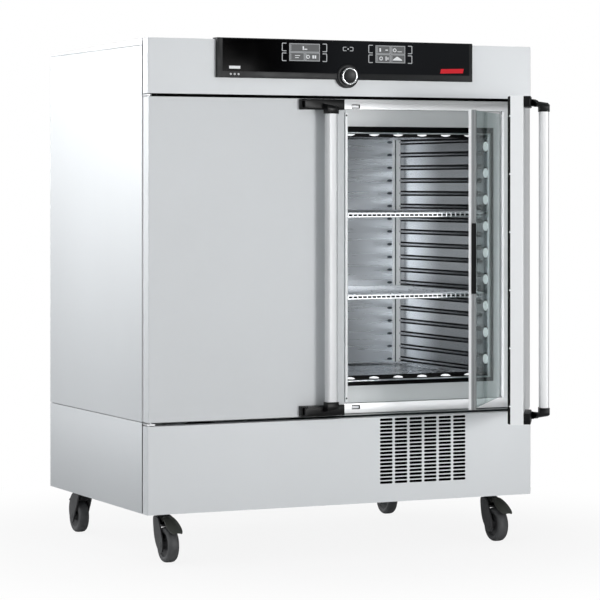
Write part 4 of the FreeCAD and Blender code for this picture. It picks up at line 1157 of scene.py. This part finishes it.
def grille_shade_sheet():
    """Pleated black sheet behind the air slots that paints the shade behind them."""
    panel = Box("base_front_panel")
    x0, x1, z0, z1 = 100.0, 395.0, 188.0, 386.0
    front, depth, pitch = panel.y0 + 5.0, 5.0, 8.0
    count = int((x1 - x0) / pitch)
    folds = [(x0 + k * pitch / 2, front + (depth if k % 2 else 0)) for k in range(2 * count + 1)]
    outline = folds + [(x, y + 1.2) for x, y in reversed(folds)]
    shade_sheet = Mesh()
    shade_sheet.prism(outline, "z", z0, z1)
    fixed("grille_shade_sheet", shade_sheet, "seal_rubber", SHADE_BLACK)


def rear_louvres():
    """Sloping blades in the rear air openings of the base and round the fan motor."""
    panel = Box("rear_panels")
    inner, outer = panel.y1 - 14.0, panel.y1 - 2.2
    blades = Mesh()
    for z in range(200, 350, 15):
        blades.prism([(inner, z + 9), (outer, z + 0.5), (outer, z + 1.7), (inner, z + 10.2)], "x", -202, 202)
    for z in range(800, 920, 12):
        blades.prism([(inner, z + 7), (outer, z + 0.5), (outer, z + 1.5), (inner, z + 8)], "x", -62, 62)
    fixed("rear_louvres", blades, "galvanised")


def screw_recesses():
    """Cross recesses in the rear panel screws."""
    screws = Box("panel_screws")
    slots = Mesh()
    for x in (-590, -300, 300, 590):
        for z in (160, 378, 420, 925, 1430):
            y0, y1 = screws.y1 - 0.2, screws.y1 + 0.05
            slots.box(x - 2.6, x + 2.6, y0, y1, z - 0.5, z + 0.5)
            slots.box(x - 0.5, x + 0.5, y0, y1, z - 2.6, z + 2.6)
    fixed("screw_recesses", slots, "black_plastic")


make_camera()
make_world()
make_floor()
area_light("key", (-3.8, 1.1, 1.95), (-0.6, 0.1, 1.80), (2.4, 0.6), 15.5, spread=50)
area_light("front", (1.3, -5.6, 1.2), (0, -0.4, 0.75), (1.3, 0.9), 88)
FRAME_LIGHT = area_light("frame_light", (-2.2, -2.6, 0.5), (0.3, -0.35, 0.85), (0.8, 0.8), 110)
FRAME_FILL = area_light("frame_fill", (1.3, -3.4, 0.7), (0.2, -0.35, 0.95), (0.8, 0.8), 27)
RIGHT_FILL = area_light("right_fill", (1.3, -1.9, 0.98), (0.4, -0.4, 0.85), (0.8, 0.8), 8)
area_light("chamber_light", (-0.05, -0.30, 0.85), (0, 0.2, 0.85), (0.9, 0.68), 2.9, spread=110)
dress_cad_nodes()
chamber()
chamber_studs()
mouth_trim()
JAMB_HIGHLIGHTS = pale_jamb_highlights()
baffle_edges()
wire_shelf("lower_shelf")
wire_shelf("upper_shelf")
shelf_rails()
mouth_catches()
for door_side in ("left", "right"):
    outer_door(door_side)
    handle_bar(door_side)
    glass_door(door_side)
    for castor_end in ("front", "rear"):
        castor(castor_end, door_side)
    brake_pedal(door_side)
control_panel()
knob()
grille_shade_sheet()
rear_louvres()
screw_recesses()

limit_light(FRAME_LIGHT, [JAMB_HIGHLIGHTS])
limit_light(FRAME_FILL, [NODES["front_frame"]])
limit_light(RIGHT_FILL, [NODES["header_panel"], NODES["base_front_panel"]])
